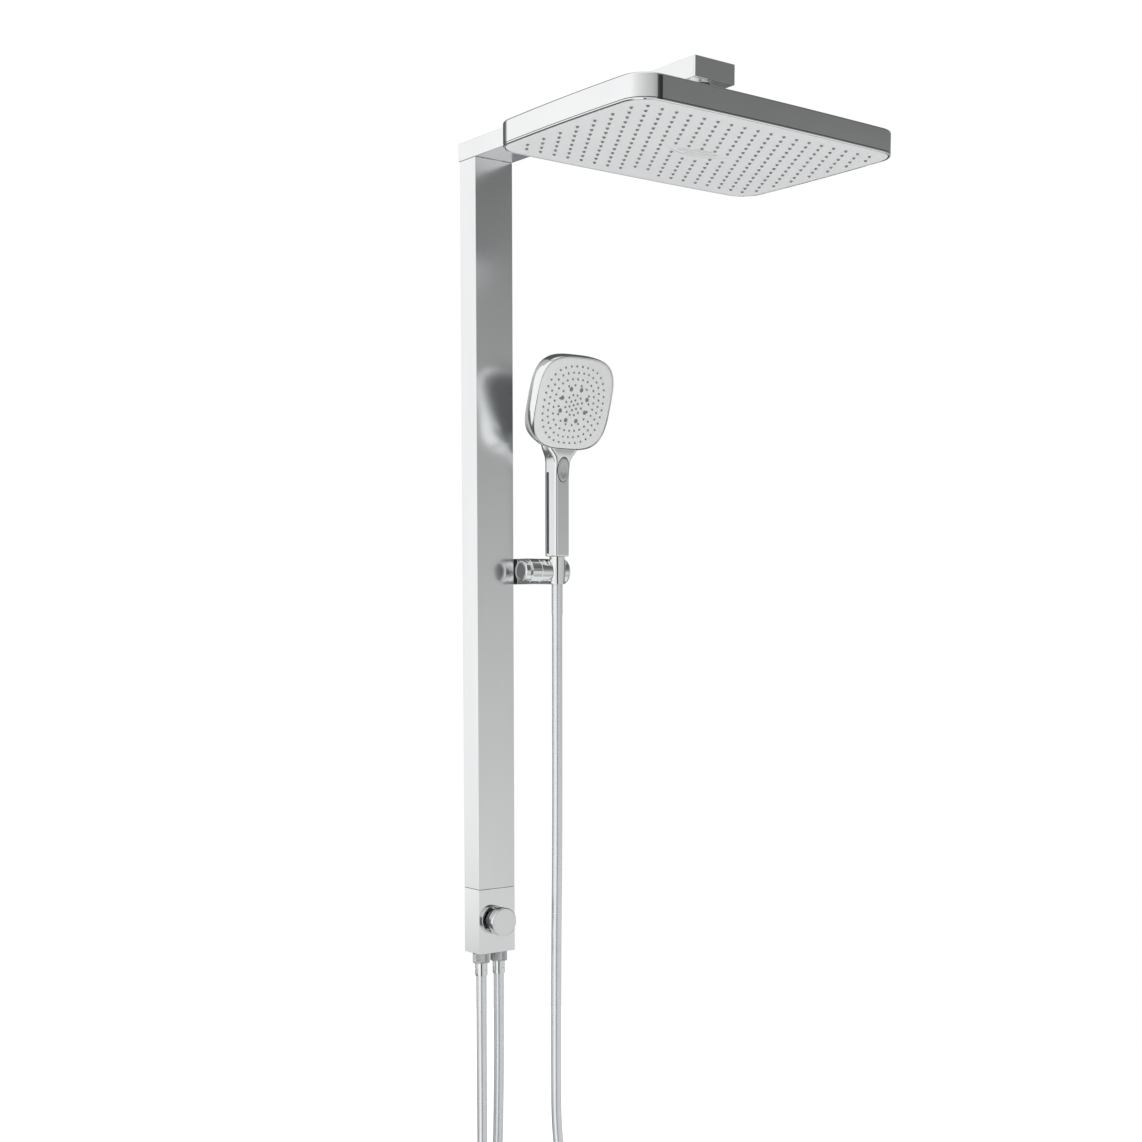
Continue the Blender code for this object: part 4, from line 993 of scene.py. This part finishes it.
large_spots = round_ring(0.0224, 8, 0.5)
small_spots += round_ring(0.0136, 12, 0.5) + round_ring(0.0068, 6, 0.3) + round_ring(0.0, 1, 0.0)
HAND_TIP = [
    (0.0015, -0.0006), (0.0015, 0.0001), (0.0012, 0.0006), (0.0010, 0.0010), (0.0007, 0.0010),
    (0.0004, 0.0003),
]
LARGE_TIP = [(2 * radius, height) for radius, height in HAND_TIP]
out = face_point(0, 0, -1) - face_point(0, 0, 0)
hand_nozzles = nozzles("hand_nozzles", small_spots, out, HAND_TIP)
piece(hand_nozzles, "handset", RUBBER, sharp=50)
jet_nozzles = nozzles("hand_jet_nozzles", large_spots, out, LARGE_TIP, 16)
piece(jet_nozzles, "handset", RUBBER, sharp=50)


def front_bulge(height):
    """The Y of the handle's front at a height, counted from the front of its plain part."""
    for lower, upper in zip(handle_sections, handle_sections[1:]):
        if lower[0] <= height <= upper[0]:
            share = (height - lower[0]) / (upper[0] - lower[0])
            front = (lower[3] - lower[2] / 2) * (1 - share) + (upper[3] - upper[2] / 2) * share
            return front - HANDLE_FRONT
    return 0.0


def button_loop(half_width, half_height, y):
    """An upright oval round the mode button's middle, which follows the handle's front."""
    return [
        (HAND_X + across, y + front_bulge(MODE_BUTTON_Z + up), MODE_BUTTON_Z + up)
        for across, up in circle(half_width, half_height, 64)
    ]


BUTTON_HALF_WIDTH = 0.0092
BUTTON_HALF_HEIGHT = 0.0163
# Painted shade: a black ring fills the gap round the mode button, where the gap's shade would fall
shade_ring_taller = BUTTON_HALF_HEIGHT - BUTTON_HALF_WIDTH
shade_ring_loops = [button_loop(half_width, half_width + shade_ring_taller, y) for half_width, y in (
    (0.00925, -0.0902), (0.00995, -0.0902), (0.00995, -0.0860), (0.00925, -0.0860),
)]
piece(loft("mode_button_shade_ring", shade_ring_loops, ring=True), "handset", NYLON)
# A domed oval with a shallow thumb dish, as (share of its size, Y)
button_loops = [button_loop(BUTTON_HALF_WIDTH * share, BUTTON_HALF_HEIGHT * share, y) for share, y in (
    (1.0, -0.0887), (1.0, -0.0906), (0.965, -0.0912), (0.90, -0.0917), (0.75, -0.0919), (0.5, -0.0916),
    (0.25, -0.0914),
)]
oval_button = loft("mode_button_oval", button_loops)
piece(oval_button, "mode_button", BUTTON, ["handset_button"], sharp=50)

cone = [
    (0.0078, HANDLE_BOTTOM - 0.0006), (0.0102, HANDLE_BOTTOM - 0.0006), (0.0106, HANDLE_BOTTOM - 0.0010),
    (0.01048, -0.4750), (0.00885, CONE_BOTTOM + 0.0010), (0.0085, CONE_BOTTOM), (0.0082, CONE_BOTTOM),
    (0.0082, CONE_BOTTOM + 0.012), (0.0078, CONE_BOTTOM + 0.012),
]
cone_nut = turned("cone_nut", (HAND_X, HAND_Y, 0), cone, ring=True)
piece(cone_nut, "handset", CHROME, ["hose_cone_nut"])

# ---------------------------------------------------------------- holder

axis_point = (0, BARREL_Y, HOLDER_Z)
release_disc = turned("release_button_disc", axis_point, [
    (0.0, 0.0243), (0.0105, 0.0243), (0.0108, 0.0246), (0.0112, 0.0246), (0.0115, 0.0243), (0.0134, 0.0244),
    (0.0140, 0.0248), (0.0143, 0.0256), (0.0143, 0.0350), (0.0, 0.0350),
], "X")
piece(release_disc, "slider_button", CHROME, ["release_button"])

SPRING_LOW = 0.0361
SPRING_HIGH = 0.0403
SPRING_TURNS = 3
SPRING_RADIUS = 0.0100
SPRING_WIRE = 0.0005


def coil_route(steps_per_turn=12):
    """Points round the release spring's turns, along X."""
    count = steps_per_turn * SPRING_TURNS
    points = []
    for step in range(count + 1):
        angle = 2 * math.pi * step / steps_per_turn
        along = SPRING_LOW + (SPRING_HIGH - SPRING_LOW) * step / count
        points.append((along, BARREL_Y + SPRING_RADIUS * math.cos(angle),
                       HOLDER_Z + SPRING_RADIUS * math.sin(angle)))
    return points


spring = tube("coil_spring", smooth_route(coil_route(), 0.002), SPRING_WIRE, 10)
piece(spring, "slider", STEEL, ["release_spring"])
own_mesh(spring)

barrel = turned("barrel", axis_point, [
    (0.0, 0.0489), (0.0168, 0.0489), (BARREL_RADIUS, 0.0494), (BARREL_RADIUS, 0.0938), (0.0168, 0.0943),
    (0.0, 0.0943),
], "X", 96)
bore = turned("bore", (HAND_X, HAND_Y, HOLDER_Z), [
    (0.0, 0.022), (0.01265, 0.022), (0.01060, -0.022), (0.0, -0.022),
], "Z", 64)
socket = turned("socket", axis_point, [
    (0.0, 0.040), (0.0053, 0.040), (0.0053, 0.0629), (0.0, 0.0629),
], "X", 32)
subtract(barrel, bore, socket)
piece(barrel, "cradle", CHROME, ["cradle_barrel"])
end_cap = turned("barrel_end_cap", axis_point, [
    (0.0, 0.0973), (0.0148, 0.0973), (0.0158, 0.0970), (0.0166, 0.0964), (0.0171, 0.0956),
    (BARREL_RADIUS, 0.0950), (0.0168, 0.0946), (0.0, 0.0946),
], "X", 96)
piece(end_cap, "cradle", CHROME, ["cradle_end_cap"])

# ---------------------------------------------------------------- diverter knob

KNOB_FRONT = -0.058
KNOB_BACK = -0.0473
knob = turned("turning_knob", (0, 0, KNOB_Z), [
    (0.0, KNOB_FRONT), (0.0100, KNOB_FRONT), (0.0178, KNOB_FRONT), (0.0186, KNOB_FRONT),
    (0.0192, KNOB_FRONT + 0.0002), (0.0197, KNOB_FRONT + 0.0006), (0.0200, KNOB_FRONT + 0.0013),
    (0.0200, KNOB_BACK - 0.0009), (0.0198, KNOB_BACK - 0.0003), (0.0192, KNOB_BACK), (0.0176, KNOB_BACK),
    (0.0176, -0.0550), (0.0075, -0.0550), (0.0075, -0.0483), (0.0042, -0.0483), (0.0042, -0.0550),
    (0.0, -0.0550),
], "Y", 96)
piece(knob, "knob", SATIN, ["diverter_knob"])
collar = turned("knob_collar", (0, 0, KNOB_Z), [
    (0.0060, -0.0470), (0.0149, -0.0470), (0.0155, -0.0465), (0.0155, -0.0403), (0.0060, -0.0403),
], "Y", 96, ring=True)
piece(collar, "column", DARK_STEEL, ["cartridge_nut"])

# ---------------------------------------------------------------- CAD pieces that keep their shape

LOOKS = {
    "chromed_aluminium": SATIN, "chromed_brass": CHROME, "chromed_plastic": CHROME, "white_plastic": WHITE,
    "nozzle_rubber": RUBBER, "black_nylon": NYLON, "bare_brass": BRASS, "plain_steel": STEEL,
    "silver_hose": HOSE,
}
SOFT_EDGES = {
    "column_profile": 0.0006, "arm_profile": 0.0006, "arm_end_cap": 0.0006, "diverter_housing": 0.0007,
    "slider_block": 0.0007, "slider_pad": 0.0005, "wall_plate_top": 0.0004, "wall_plate_lower": 0.0004,
    "head_collar": 0.0004, "head_union_nut": 0.0004,
}
for row in frame["record"]["subparts"]:
    node = nodes[row["node"]]
    node.data.materials.clear()
    node.data.materials.append(LOOKS[row["material_slot"]])
    weld = node.modifiers.new("weld", "WELD")
    weld.merge_threshold = 0.00001
    if row["node"] in SOFT_EDGES:
        bevel_edges(node, SOFT_EDGES[row["node"]], 40.0, True)
